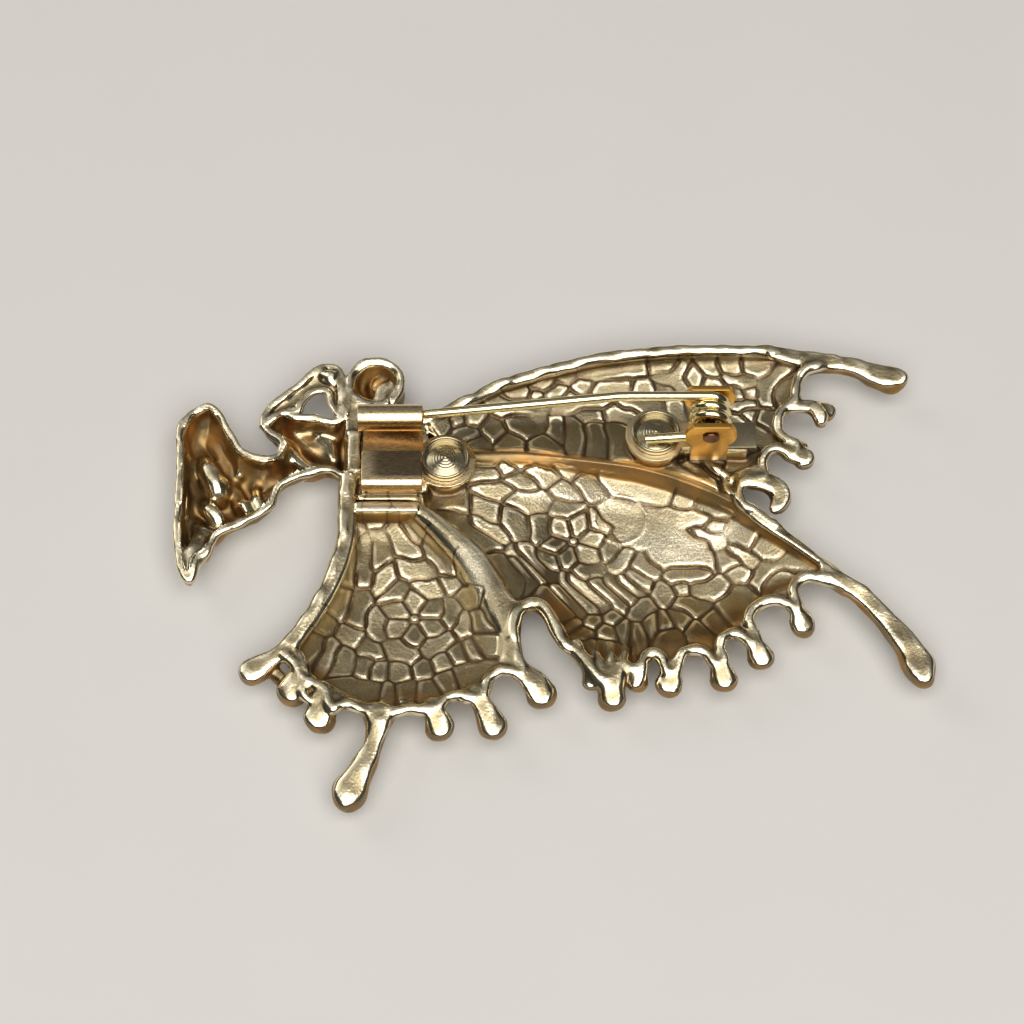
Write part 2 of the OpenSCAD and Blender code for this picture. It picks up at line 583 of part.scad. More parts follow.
// The catch: a folded strip whose back edge rolls up and over the pin
module catch() {
  bore = rivet_head_r * 0.55 + fit_gap;
  fold_y = rivet_1[1] - catch_front;
  roll_t = sheet_t * 0.8;
  flap_x = roll_x0 + sheet_t * 0.8;
  flap_len = roll_len - sheet_t * 0.8;
  color(bright_gold) translate([-box_mid[0], -box_mid[1], 0]) difference() {
    union() {
      // Strip and web
      translate([flap_x, fold_y, plate_z]) cube([flap_len, roll_y + roll_r - fold_y, sheet_t]);
      translate([roll_x0, roll_y + roll_r - roll_t, plate_z])
        cube([roll_len, roll_t, roll_z - plate_z]);
      // Roll
      translate([roll_x0, roll_y, roll_z]) rotate([90, 0, 90])
        rotate_extrude(angle = 195, $fn = fine)
          translate([roll_r - roll_t, 0]) square([roll_t, roll_len]);
      // Fold and flap
      translate([flap_x, fold_y, plate_z + fold_r]) rotate([90, 0, 90])
        rotate_extrude(angle = 180, start = 90, $fn = fine)
          translate([fold_r - sheet_t, 0]) square([sheet_t, flap_len]);
      translate([flap_x, fold_y, plate_z + 2 * fold_r - sheet_t])
        cube([flap_len, flap_depth, sheet_t]);
      // Eye round the rivet
      translate(raised(rivet_1, plate_z)) cylinder(r = eye_r, h = sheet_t, $fn = fine);
    }
    translate(raised(rivet_1, plate_z - sheet_t))
      cylinder(r = bore, h = sheet_t * 3, $fn = fine);
    // Room for the rivet's head beside the flap
    translate(raised(rivet_1, plate_top))
      cylinder(r = rivet_head_r + coil_gap, h = fold_r * 4, $fn = fine);
  }
}

// One ear of the hinge, upright, with its foot on the plate
module ear(y) {
  difference() {
    union() {
      translate([axis_x, y + sheet_t, axis_z]) rotate([90, 0, 0])
        cylinder(r = ear_r, h = sheet_t, $fn = fine);
      translate([axis_x - ear_r * 0.72, y, plate_z])
        cube([ear_r * 1.44, sheet_t, axis_z - plate_z]);
    }
    translate([axis_x, y + sheet_t * 2, axis_z]) rotate([90, 0, 0])
      cylinder(r = hinge_pin_r + fit_gap, h = sheet_t * 3, $fn = fine);
    translate([axis_x - ear_r * 2, y - sheet_t, axis_z + ear_r * 0.68])
      cube([ear_r * 4, sheet_t * 3, ear_r]);
  }
}

module hinge_bracket() {
  bore = rivet_head_r * 0.55 + fit_gap;
  color(bright_gold) translate([-box_mid[0], -box_mid[1], 0]) difference() {
    union() {
      translate(raised(rivet_2, plate_z)) cylinder(r = eye_r, h = sheet_t, $fn = fine);
      translate([rivet_2[0], rivet_2[1] - strip_w / 2, plate_z])
        cube([hinge_reach + strip_reach, strip_w, sheet_t]);
      translate([axis_x - ear_r * 0.72, ear_y, plate_z])
        cube([ear_r * 1.44, far_ear_y + sheet_t - ear_y, sheet_t]);
      ear(ear_y);
      ear(far_ear_y);
    }
    translate(raised(rivet_2, plate_z - sheet_t))
      cylinder(r = bore, h = sheet_t * 3, $fn = fine);
    translate(raised(rivet_2, plate_top))
      cylinder(r = rivet_head_r + coil_gap, h = sheet_t * 2, $fn = fine);
  }
}

// The rivet across the ears that the coil turns on
module hinge_rivet() {
  head_r = hinge_pin_r * 1.7;
  head_t = sheet_t / 2;
  length = far_ear_y + sheet_t - ear_y;
  color(bright_gold) translate([axis_x - box_mid[0], ear_y - box_mid[1], axis_z]) rotate([-90, 0, 0]) {
    translate([0, 0, -fit_gap - head_t / 2])
      cylinder(r = hinge_pin_r, h = length + fit_gap * 2 + head_t, $fn = fine);
    translate([0, 0, -fit_gap - head_t]) cylinder(r = head_r, h = head_t, $fn = fine);
    translate([0, 0, length + fit_gap]) cylinder(r = head_r, h = head_t, $fn = fine);
  }
}

// The pin: a coil round the rivet, a level run, the stem down to the catch, and the tail
module pin_wire() {
  turn_sides = 16;
  steps = turn_sides * coil_turns;
  coil = [for (i = [0:steps]) let (a = 90 - 360 * i / turn_sides)
    [axis_x + coil_r * cos(a), stem_y - coil_pitch * i / turn_sides, axis_z + coil_r * sin(a)]];
  bend = [axis_x - level_run, stem_y, coil_top];
  // The stem goes in at the roll's mouth near the top and back of its bore, and on down to its point
  play = roll_r - sheet_t * 0.8 - wire_r;
  mouth = [roll_x0 + roll_len, roll_y + play * 0.5, roll_z + play * 0.7];
  along = unit(mouth - bend);
  start = bend + along * wire_r * 2;
  straight = norm(mouth - start) - wire_r * 2;
  point_len = point_reach + wire_r * 2;
  fall = atan2(-along[2], -along[0]);
  yaw = asin(along[1]);
  tail_start = coil[len(coil) - 1];
  tail_end = [rivet_2[0] - 0.9, rivet_2[1] - 1.1, plate_top + rivet_head_h + wire_r + coil_gap];
  color(bright_gold) translate([-box_mid[0], -box_mid[1], 0]) {
    wire(concat(
      [start + along * wire_r * 2, start + along * wire_r * 0.5, bend + [wire_r, 0, 0],
        [axis_x - level_run / 2, stem_y, coil_top]],
      coil, [mix(tail_start, tail_end, 0.5), tail_end]
    ));
    translate(start) rotate([0, -90 - fall, 0]) rotate([-yaw, 0, 0]) {
      cylinder(r = wire_r, h = straight, $fn = fine);
      translate([0, 0, straight])
        cylinder(r1 = wire_r, r2 = wire_r * 0.15, h = point_len, $fn = fine);
    }
  }
}

// Round wire through points that turn in any direction
module wire(path) {
  sides = 8;
  n = len(path);
  rings = [for (i = [0:n - 1])
    let (
      ahead = unit(path[min(i + 1, n - 1)] - path[max(i - 1, 0)]),
      side = unit(cross(ahead, [0, 1, 0.02])),
      up = cross(ahead, side)
    )
    for (s = [0:sides - 1])
      path[i] + wire_r * 0.95 * (cos(360 * s / sides) * side + sin(360 * s / sides) * up)];
  faces = concat(
    [[for (s = [0:sides - 1]) s]],
    [for (i = [0:n - 2]) for (s = [0:sides - 1]) for (k = [0, 1])
      let (a = i * sides + s, b = i * sides + (s + 1) % sides)
      k == 0 ? [a, a + sides, b] : [b, a + sides, b + sides]],
    [[for (s = [sides - 1:-1:0]) (n - 1) * sides + s]]
  );
  polyhedron(rings, faces);
}

casting();
catch();
hinge_bracket();
hinge_rivet();
pin_wire();
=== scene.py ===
import json
import math

import bmesh
import bpy
import numpy as np
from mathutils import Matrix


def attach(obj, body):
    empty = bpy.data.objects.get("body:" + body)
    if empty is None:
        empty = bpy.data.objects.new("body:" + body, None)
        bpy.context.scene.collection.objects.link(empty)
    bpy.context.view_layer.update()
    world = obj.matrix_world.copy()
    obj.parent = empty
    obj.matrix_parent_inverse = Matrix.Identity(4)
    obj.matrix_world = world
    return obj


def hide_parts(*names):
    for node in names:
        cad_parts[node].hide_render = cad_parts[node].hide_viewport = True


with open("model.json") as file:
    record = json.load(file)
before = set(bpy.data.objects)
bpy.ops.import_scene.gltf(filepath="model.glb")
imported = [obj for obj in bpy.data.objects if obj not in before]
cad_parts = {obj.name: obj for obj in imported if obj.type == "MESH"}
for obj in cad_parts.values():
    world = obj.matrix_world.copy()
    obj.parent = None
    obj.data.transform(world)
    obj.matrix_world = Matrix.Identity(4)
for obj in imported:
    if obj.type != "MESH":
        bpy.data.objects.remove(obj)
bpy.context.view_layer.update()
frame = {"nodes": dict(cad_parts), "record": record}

import openvdb
from bpy.props import FloatProperty, FloatVectorProperty, PointerProperty
from mathutils import Vector

bl_info = {
    "name": "Winged Figure Brooch",
    "version": (1, 0, 0),
    "blender": (4, 5, 0),
    "location": "View3D > Sidebar > Brooch",
    "description": "Dresses a cast brooch of a winged figure, with its catch, hinge and coiled pin",
    "category": "Add Mesh",
}

MM = 0.001
# Distances to the metal are kept up to this far, in mm
FAR = 3.0
# The block that holds the casting, in the plan, and the lowest place where it has metal
BLOCK_LOW, BLOCK_HIGH = (-33.9, -25.6, -0.3), (32.2, 19.1, 5.3)
LOWEST = 0.03
# What the casting's points keep: its grooves, wear and sandy finish, its painted warm shade, and its painted
# highlights and shade
PAINTED = ("groove", "wear", "amber", "sandy", "tone")
# The plan's origin, on the middle wing's floor, in the frame's millimetres
PLAN = np.array([0.56, 3.055, 0.0])
# Height of the casting's rims above the table, the height that the plan was read at, and the rise of the
# findings' seats above the rims
RIM = 4.04
READ_AT = 4.0
SEAT_RISE = 0.6
# How far up the plan a point moves, as it is seen, for each millimetre that it rises
LEAN = 0.532

# The wings' tables: place along the wing, upper edge, lower edge, share of the dish, per cent
UPPER_WING = [
    (-4, 30, -8, 20), (3, 43, -6, 40), (8, 56, 0, 60), (13, 68, 0, 80), (19, 76, 0, 90),
    (25, 84, -1, 100), (33, 92, -6, 100), (40, 97, -10, 100), (48, 101, -17, 100),
    (53, 103, -25, 98), (58, 104, -34, 97), (63, 104, -44, 96), (66, 104, -45, 90),
    (70, 103, -20, 80), (73, 103, 0, 70), (75, 102, 22, 60), (78, 102, 54, 50),
    (80, 101, 72, 30), (84, 98, 83, 10),
]
MIDDLE_WING = [
    (-5, -2, -28, 15), (0, -3, -34, 20), (5, -2, -44, 25), (10, 0, -56, 35), (14, 0, -77, 40),
    (17.5, 0, -75, 45), (20, 0, -73, 50), (22.5, 0, -76, 55), (25.5, -1, -87, 65),
    (30, -2, -99, 80), (34, -4, -106, 90), (39, -5, -105, 100), (45.5, -7, -95, 100),
    (49, -9, -99, 100), (54, -13, -93, 100), (59, -18, -95, 95), (63, -21, -86, 90),
    (67, -29, -84, 80), (71.5, -38, -71, 60), (76, -43, -67, 45), (79, -48, -63, 30),
    (83, -56, -63, 10),
]
LOWER_WING = [
    (0, -33, 0, 40), (-10, -31, 2, 70), (-20, -30, 14, 90), (-30, -32, 25, 97),
    (-40, -35, 32, 99), (-50, -39, 35, 100), (-60, -45, 38, 95), (-68, -50, 42, 85),
    (-75, -53, 43, 75), (-82, -55, 42, 65), (-88, -47, 36, 50), (-93, -37, 28, 35),
    (-98, -28, 18, 20), (-101, -17, 7, 10),
]
# What the tables' per cents are of, where they start, and how deep the dishes are, in mm
WING_LEN, UPPER_RISE, MIDDLE_DROP, LOWER_SIZE = 40.0, 10.0, 20.0, 20.0
WING_ROOT, LOWER_ROOT = (-10.0, 8.0), (-12.0, 4.0)
UPPER_DEPTH, MIDDLE_DEPTH, LOWER_DEPTH = 2.2, 2.9, 2.7

# Edges, as the plan shows them, in millimetres
UPPER_RIM = [
    (-11.5, 10.9), (-10, 11.6), (-8.9, 12.2), (-7, 13.2), (-5, 14.4), (-2.4, 15.4), (0, 16.15),
    (3, 17), (5.9, 17.55), (8.9, 17.9), (12.7, 18.1), (15, 18.15), (19.3, 18), (23, 17.7), (25, 17.4),
]
UPPER_TIPS = [
    (25.5, 16.7), (23.5, 16.5), (22.3, 16), (21.6, 15), (21.4, 14), (21.3, 13.2), (20.9, 12.5),
    (20.2, 12), (19.65, 11), (19.55, 9.9), (19.9, 9.3), (20.6, 8.8), (21.2, 8.4), (20.9, 7.6),
    (20.2, 7.85), (19.3, 8.1), (18.5, 7.7), (18.1, 6.8), (18.2, 5.9), (18.3, 5.3), (17, 4.9),
    (16.1, 4.4), (15.9, 3.4), (16.3, 2.5), (17.2, 2), (18, 1.2), (19, 0.4), (20, -0.3),
    (21.6, -1.7), (23.2, -3.2),
]
RIDGE = [
    (-9, 7.6), (-7, 7.7), (-3, 7.7), (0, 7.4), (3.7, 6.9), (7, 6.4), (10, 5.5), (13, 4.2),
    (15, 3.1), (16.1, 2.3), (18, 0.6), (20, -0.9), (21.5, -2.1), (23.2, -3.5),
]
MIDDLE_TIPS = [
    (24.5, -5.5), (22.8, -4.7), (21.4, -4.4), (20.5, -4.9), (20.2, -5.8), (20.4, -6.9),
    (20.3, -7.4), (19.6, -6.9), (18.6, -6.6), (17.5, -6.8), (16.6, -7.6), (16.3, -8.6),
    (16.6, -9.7), (16.5, -10.5), (15.7, -9.9), (14.9, -9.65), (14.1, -10.1), (13.75, -11),
    (13.9, -12), (13.4, -12.4), (12.7, -11.5), (11.8, -11.15), (10.8, -11.4), (10.3, -12.2),
    (9.9, -13.1), (9.3, -13.1), (8.9, -12), (8.2, -11.5), (7.5, -11.9), (7.1, -12.8),
    (6.4, -13), (5.6, -12.6), (5.1, -13.3), (4.4, -14), (3.6, -13.7), (3, -12.9), (2.4, -12),
    (1.6, -11.2), (0.8, -10.6), (0.2, -9.6), (-0.5, -8.1), (-1.2, -7.2), (-2, -6.8),
]
SEAM = [(-2, -6.8), (-3.4, -6.6), (-4.4, -5.2), (-5.6, -2.8), (-7.4, -0.8), (-9.4, 1), (-11, 2.4)]
LOWER_LEFT = [
    (-17.9, 5.2), (-18.1, 3), (-18, 1), (-18.1, -1), (-18.5, -3), (-19.2, -5), (-20.2, -7.2),
    (-21.3, -9), (-22.3, -10.6),
]
LOWER_TIPS = [
    (-22.6, -11.7), (-21.9, -12.4), (-21.2, -13.4), (-20.3, -14.2), (-19.2, -15), (-18.5, -16.5),
    (-17.8, -16.2), (-17.1, -16.1), (-16.2, -16.5), (-15.4, -17), (-14.3, -17.2), (-13.7, -17.2),
    (-13, -16.8), (-12, -16.6), (-11.2, -16.7), (-10.2, -16.6), (-9.5, -16.2), (-8.9, -15.6),
    (-8.1, -15.4), (-7.4, -15.6), (-6.4, -15.6), (-5.8, -14.9), (-5.5, -13.9), (-4.7, -13.2),
    (-3.8, -13.2), (-2.9, -13.3), (-2.9, -12.4), (-3.4, -10.5), (-3.5, -9), (-3.2, -7.6),
]

# Drips and tails: the points of each, with a radius
UPPER_DRIPS = [
    [(21, 12.4, 0.5), (22.4, 12.4, 0.58), (23.4, 12.2, 0.68), (24, 12, 0.72)],
    [(23, 12, 0.5), (23.4, 11.3, 0.55), (23.5, 11, 0.5)],
    [(20.5, 8.6, 0.4), (21.9, 8.5, 0.35)],
    [(20.6, 7.6, 0.6), (21.8, 7.4, 0.8), (21.6, 6.9, 0.5)],
    [(16.4, 4.9, 0.6), (18, 4.9, 0.7), (19.2, 4.4, 0.82), (19.6, 3.6, 0.82), (19.4, 2.9, 0.7),
     (19.1, 2.5, 0.5)],
]
MIDDLE_DRIPS = [
    [(20.3, -6.9, 0.55), (20.6, -7.7, 0.6), (20.9, -8.4, 1)],
    [(16.6, -9.9, 0.55), (16.9, -10.7, 0.6), (17.2, -11.4, 1.05)],
    [(13.9, -11.9, 0.55), (13.9, -12.7, 0.62), (14.05, -13.4, 1.05)],
    [(10, -12.6, 0.55), (9.8, -13.3, 0.62), (9.5, -13.9, 1.05)],
    [(7.1, -12.9, 0.5), (6.8, -13.7, 0.85)],
    [(4.8, -13.6, 0.7), (4.7, -15.1, 1.05)],
    [(2.8, -12.4, 0.5), (3, -13.8, 0.7)],
]
LOWER_DRIPS = [
    [(-22.2, -10.8, 0.55), (-23.8, -12, 0.8), (-25.3, -12.9, 1.05)],
    [(-21, -13, 0.6), (-21.5, -13.8, 0.9), (-21.9, -14.6, 1.15)],
    [(-19.4, -14.8, 0.7), (-19.2, -15.8, 0.9), (-19.5, -16.9, 1.2)],
    [(-10.2, -16.2, 0.6), (-9.6, -17.8, 1.1)],
    [(-6.6, -15.2, 0.6), (-5.9, -16.4, 0.8), (-5.2, -17.7, 1.1)],
    [(-3, -12.8, 0.7), (-1.9, -13.9, 0.95), (-1.2, -14.8, 1.15)],
]
# The bright lip round the gap between the lower and the middle wing
U_GAP = [
    (-3.5, -10), (-3.5, -9), (-3.2, -7.8), (-2.4, -7.1), (-1.3, -7), (-0.6, -7.8), (0.2, -9.2),
    (0.9, -10.6), (1.8, -10.9),
]
# The broad smooth rib between the lower and the middle wing: points with a radius
RIB = [
    (-11.6, 2.2, 0.6), (-9.6, 0.4, 0.95), (-7.4, -1.9, 1.2), (-5.6, -4.7, 1.3), (-4.4, -7.2, 1.15),
    (-3.9, -9.6, 0.75), (-3.8, -11.8, 0.5),
]
# Small lumps of metal: points with a depth below the rims and a radius
KNOBS = [
    [(1.7, -10.7, 0.3, 0.5), (2.3, -12, 0.3, 0.55), (3.1, -13.2, 0.4, 0.55), (4, -14.4, 0.7, 0.6)],
    [(3.1, -10.3, 1.2, 0.5), (3.4, -11.6, 0.6, 0.5), (4, -13, 0.35, 0.5), (4.5, -14.4, 0.5, 0.6)],
    [(4.6, -10.5, 1.2, 0.5), (4.7, -11.7, 0.6, 0.5), (4.8, -13, 0.35, 0.5), (4.8, -14.4, 0.5, 0.6)],
    [(5.9, -10.9, 0.9, 0.5), (5.7, -12.2, 0.4, 0.5), (5.5, -13.2, 0.4, 0.55), (5.2, -14.2, 0.7, 0.6)],
    [(10.2, 6.9, 0.9, 0.3), (11.3, 5.9, 0.8, 0.4), (12.6, 5.2, 0.8, 0.4), (13.8, 5, 0.8, 0.3)],
    [(13.3, 7, 0.7, 0.3), (14, 6.2, 0.5, 0.4), (14.9, 5.6, 0.6, 0.35)],
    [(15.4, 5.1, 0.5, 0.4), (16.2, 5.6, 0.5, 0.5), (17.4, 6, 0.4, 0.5)],
    [(11.6, 6.9, 0.9, 0.35), (12.3, 6.3, 0.8, 0.35)],
    [(-20.3, -13.9, 0.3, 0.45), (-20.9, -14.9, 0.4, 0.5), (-20.3, -15.7, 0.4, 0.45),
     (-19.5, -15.5, 0.4, 0.5)],
    [(-22.4, -11.3, 0.5, 0.4), (-21.4, -11.7, 0.4, 0.5), (-21.2, -12.9, 0.3, 0.5)],
    [(-23.6, -12.4, 1.3, 0.5), (-23, -13.2, 1.3, 0.6), (-22.2, -13.6, 1.2, 0.6)],
]
UPPER_TAIL = [
    (19.5, 17.5, 0.3), (21.2, 17.3, 0.6), (22.8, 17.15, 0.7), (24.6, 17, 0.7), (26.2, 16.7, 0.72),
    (27.4, 16.3, 0.8), (28.6, 15.9, 0.98), (29.8, 15.6, 1.08), (30.5, 15.4, 0.8),
]
MIDDLE_TAIL = [
    (23, -3.9, 0.5), (24.6, -5, 0.6), (26, -6.1, 0.7), (27.2, -7.3, 0.76), (28.3, -8.6, 0.84),
    (29.6, -10.4, 1), (30.5, -12.2, 1.18), (30.75, -13.1, 0.9),
]
# The flat strip outside the middle wing's upper lip, where the ridge runs out into the tail
TAIL_STRIP = [(18.6, 0.8), (20, -0.4), (21.5, -1.7), (23, -3), (24.6, -4.3), (26, -5.5)]
LOWER_TAIL = [
    (-14.6, -17.1, 1.1), (-14.7, -18.1, 0.84), (-15.1, -19.7, 0.74), (-15.6, -21, 0.84),
    (-16.4, -22.4, 1.1), (-16.9, -23.4, 1.3), (-17.1, -24, 0.9),
]

# Relief cells: each is one or more strokes, in the plan as it is seen; one tuple is a cell
UPPER_CELLS = [
    (-3.4, 13.5, -2.5, 13.7), (-1.5, 13.4), (-1.5, 14.7, -0.4, 14.5), (0, 13.9, 0.8, 14),
    (1.2, 15.2), (2.2, 14.1, 3.1, 14.4), (1.7, 13.4), (3.2, 15.8, 7.6, 16.4),
    (3.9, 14, 6.4, 14.1), (7.6, 13.9, 8.8, 13.9), (9.3, 16.7, 10.3, 16.5),
    [(11.4, 16, 10.6, 15.2), (10, 15.2, 10.8, 15), (11, 14.8, 11.5, 13.9)],
    (9.6, 14, 10.4, 13.8), (12.4, 15.5, 12.8, 14.8), (13.7, 16.5, 14.4, 15.9),
    (15.3, 16.3, 16.1, 16), (17.6, 16.2, 18.6, 16.1), (15.5, 15, 17.2, 14.8),
    (13.8, 14.5, 14.8, 14.5), (16, 13.9, 16.5, 13.4),
    [(20.2, 15.6, 19, 14.6), (19, 14.6, 18.8, 13)], (20.7, 14.6, 20.1, 13.3),
    (16.6, 12.5, 17.3, 12.5), (17.4, 13.7), (17.4, 11.6), (-9.5, 10.5), (-8.3, 10.8),
    (-7, 10.9, -6.5, 10.9), (-5.7, 10.3, -5, 9.7), (-3.2, 10.4, -1.4, 10.5),
    (0.4, 10.6, 0.3, 9.7), (1.8, 10.6, 2, 9.4), (3.7, 10.2, 4, 9.1), (5.5, 10.1, 5.8, 8.9),
    (2.8, 11.6, 4, 11.5), (5, 11.7, 6.6, 11.6), (-8, 9.8, -7.2, 9.7), (-4, 8.8), (-6.6, 8.5),
    (-0.6, 8.6), (-4.6, 12.3, -1, 12.5), (0.4, 12.4, 4.4, 12.7), (6.6, 12.6, 9, 12.7),
    (10.7, 12.7), (12.8, 13, 14.6, 12.8), (15.4, 10.4, 16.4, 10.6), (15.2, 8.6, 16.4, 8.4),
    (10.7, 7), (12.3, 7.3), (10.6, 6.6, 12.8, 5.4), (13.8, 6.3), (15.6, 5.8, 17.2, 6.4),
    (17.6, 9.6), (18.6, 11.2),
]
MIDDLE_CELLS = [
    (-6.2, 6.9, -5, 6.9), (-6.4, 5.6, -5.2, 5.5), (-4.5, 6.6, -4, 5.8), (-3.8, 7, -2, 6.8),
    (-3.7, 5, -2.3, 4.6), (-1.7, 5.8, -0.4, 5.2), (-1.2, 6.9, -0.4, 6.8), (0.4, 6.6, 1.8, 5.8),
    (0.6, 4, 1.5, 3.4), (2.6, 5, 3.2, 4), (2.8, 6.2), (4.8, 5.2, 9.2, 3.5),
    [(4.7, 1.4, 13, 1), (6, -0.5, 13, -1.2), (9, -2.8, 13.5, -3)], (11.3, 2.8),
    (-5.9, 3.8, -4.2, 4.1), (-6.5, 2.6, -5.4, 1.6), (-3.2, 2.9, -1, 2.8), (-3.8, 1.4, -2.9, -0.4),
    (-8.5, 3, -7.9, 2.6),
    (3.7, 0.9, 4.2, 0.3), (-1, 0.6, -1.2, -0.6), (-0.9, -2.6, -0.2, -3.3), (0.6, 2.1, 1.6, 2.1),
    (2.4, -4.1, 3.6, -4), (5, -1.2, 4.9, -2.2),
    (5.5, -3.6, 6, -2.7), (7.4, -3.4, 8.2, -3.9), (6.7, -4.5, 7.6, -5.4), (-8.5, 1, -4.7, -1.6),
    (-6.6, 0.6, -4.5, -1), (-3.7, -1.9, -1, -5), (-2.8, -1.8, 0, -4.9), (-3.4, -2.6, -1.6, -5),
    (-4.7, -2.6, -3, -4.6), (-1, -5.5, 1.4, -8.2), (0, -5.3, 2.2, -7.8), (0.7, -4.8, 3.2, -7.6),
    (1.5, -4.9, 4.3, -7.2), (3.6, -5.1, 5.7, -7.3), (4.9, -5, 6.6, -6.6), (5.9, -4.9, 7.2, -5.9),
    (1.6, -8.6), (3.2, -8.5), (5, -8.3), (7, -7.9, 7.5, -7.2), (9.2, -6, 9.8, -6.2), (2.5, -10),
    (4.5, -9.8), (5.9, -9.4), (6.9, -9.5), (8.2, -9), (9.3, -9), (10.7, -8.4), (2.6, -10.8),
    (4.3, -11), (9.5, -9.9), (12.1, -9.5), (13.2, -8.5), (11, -7, 12.4, -7.6),
    (12.4, -5.7, 14, -5.5), (10.9, -5.7), (14.9, -7.6, 16.3, -6),
    [(17.3, -5, 18.2, -3.8), (18.2, -3.8, 19.6, -3.2)], (18.5, -5.4, 19.3, -4.4),
    (15.7, -0.4, 16.5, -1.3), (17.6, -1.9, 18.8, -2.4), (15.8, -2.2, 16.8, -2.9),
    (14.4, -2.9, 15.4, -3), (15.8, -4, 16.3, -4.4), (12.6, -0.6, 13.9, -1),
    (13.2, 2.2, 13.9, 1.7), (13.7, 0.4), (10.5, -4.5, 12.6, -4.4),
]
LOWER_CELLS = [
    (-15.7, 1.1, -15.1, 0.8), (-17.3, 1.5, -17.3, -1), (-17.4, -2, -17.6, -5),
    (-16.5, -1.2, -16.4, -5), (-15, -0.7, -15, -3.2), (-14, 0, -12.3, -2.3),
    (-12.6, 1.5, -11.7, -0.5), (-10.7, -1, -9, -3.9), (-14.3, -4, -14.8, -5.6),
    (-12.8, -3.6, -11, -4.1), (-8, -3.6, -7.3, -4.6), (-9.1, -5.1, -8.6, -5.4),
    (-18, -6, -18.4, -7.8), (-16.4, -6.4, -16.8, -8.6), (-19.3, -8.7, -19.5, -9.2),
    (-7.8, -6.2, -6.8, -6.9), (-6.4, -8.1, -6.2, -9), (-5.7, -7.2, -5.4, -8.1),
    (-7.8, -8.6, -7.9, -9.4), (-20.3, -10.6, -20, -11.4), (-18.9, -11.2, -19.2, -11.8),
    (-17.7, -11.8, -17.5, -12.7), (-17.6, -9.9, -17, -10.4), (-15.9, -11.2, -15.1, -11.6),
    (-15.9, -12.7, -16, -13.1), (-14.9, -13.2), (-13, -13.3), (-11.1, -12.9), (-9.6, -12.4),
    (-8.2, -11.6), (-7.1, -11.2), (-6.1, -10.6), (-17.3, -14.8, -15.2, -15.2), (-14, -15.4),
    (-12.5, -15.2), (-10.6, -15.2), (-9, -14.2), (-7.6, -13.7, -6, -13.7),
    (-14.2, -6.4, -13.3, -5.9), (-11.3, -5.6, -10.2, -5.6), (-8.8, -7.3, -8.7, -8.7),
    (-10.6, -11.4, -9.3, -10.4), (-13.8, -11.1, -12, -11.9), (-15.2, -8.4, -14.8, -9.8),
]

# Patches of painted highlight and painted shade on the casting: middle, half widths and strength, above zero
# for painted highlight and below zero for painted shade
LIGHT_AND_SHADE_PATCHES = [
    (9, -0.8, 5, 2.4, 1), (2, 4.2, 6, 1.4, 0.9), (14, 0.6, 3, 1.6, 0.6), (-6.5, -3.2, 2.2, 3.5, 1),
    (-30.8, -2.2, 1.6, 2.2, 0.6), (-14.9, 14.2, 1.3, 1.5, 1), (6, 12, 12, 3.5, -1),
    (-7.5, 10.2, 3, 1.2, -0.4),
    (17, 11, 4, 4, -0.6), (8, -8.5, 7, 2.6, -0.7), (-1, -3.5, 4, 2.5, -0.9), (0.3, -0.4, 3.4, 2.6, -1.2),
    (-5, 2.6, 2.8, 1.8, -0.7),
]
# Patches of painted warm shade in the hollows: middle, half widths and strength
WARM_SHADE_PATCHES = [
    (17.3, 3.4, 1.8, 1.6, 1), (12.5, 5.6, 3, 0.9, 0.7), (3.4, -11.6, 2.6, 1.6, 0.9),
    (-20, -13.2, 1.8, 1.4, 0.7), (-12.5, -15.4, 5.5, 0.9, 0.8), (15.5, -8.8, 3.5, 1.2, 0.6),
    (-3.6, -9, 0.8, 2.6, 0.6), (19.5, 8, 1.6, 3, 0.4),
]

# The figure, clockwise from the knee
FIGURE_EDGE = [
    (-32.5, 10.3), (-31.7, 11.6), (-30.6, 12.2), (-29.9, 12.2), (-29, 11.2), (-28.2, 9.7),
    (-27.3, 8.2), (-26.5, 7.5), (-25.5, 7.1), (-24.7, 7), (-24, 7.4), (-23.6, 8.3), (-23.9, 9),
    (-24.7, 9.6), (-25.2, 10.2), (-24.8, 11), (-23.7, 11.7), (-22.7, 11.3), (-21, 11.25),
    (-19.8, 10.9), (-19, 10.8), (-18.3, 11.5), (-18.2, 12.8), (-18.1, 14), (-17, 15.5),
    (-14.6, 15.5), (-13.9, 13), (-14.3, 11), (-15.6, 9), (-16, 6), (-17.4, 5), (-18.4, 5.4),
    (-19.2, 5.9), (-20, 6), (-21, 5.7), (-22.3, 5.2), (-23.5, 4.5), (-24, 3.5), (-24.3, 2.5),
    (-25, 1.9), (-26, 1.3), (-27.3, 0.5), (-28.8, -0.2), (-29.25, -1.3), (-29.6, -2.2),
    (-30.3, -2.8), (-30.6, -4), (-30.9, -4.7), (-31.5, -4.3), (-32.1, -2.3), (-32.35, 0.7),
    (-32.4, 4), (-32.45, 7.3), (-32.6, 9),
]
FOREARM = [
    (-25.4, 10.3), (-25.3, 11.5), (-24.5, 12.7), (-23.3, 13.8), (-22, 15), (-20.7, 16.3),
    (-19.8, 16.6), (-19, 16.3), (-18.6, 15.6), (-18.5, 14), (-18.5, 12.6), (-18.8, 11.4),
    (-19.2, 11.9), (-19.7, 12.8), (-20, 13.7), (-21, 13.7), (-22, 12.6), (-22.3, 11.8),
    (-23.5, 11.6), (-24.6, 10.9),
]
HEAD = (-15.6, 14.7)
HEAD_R = 2.35
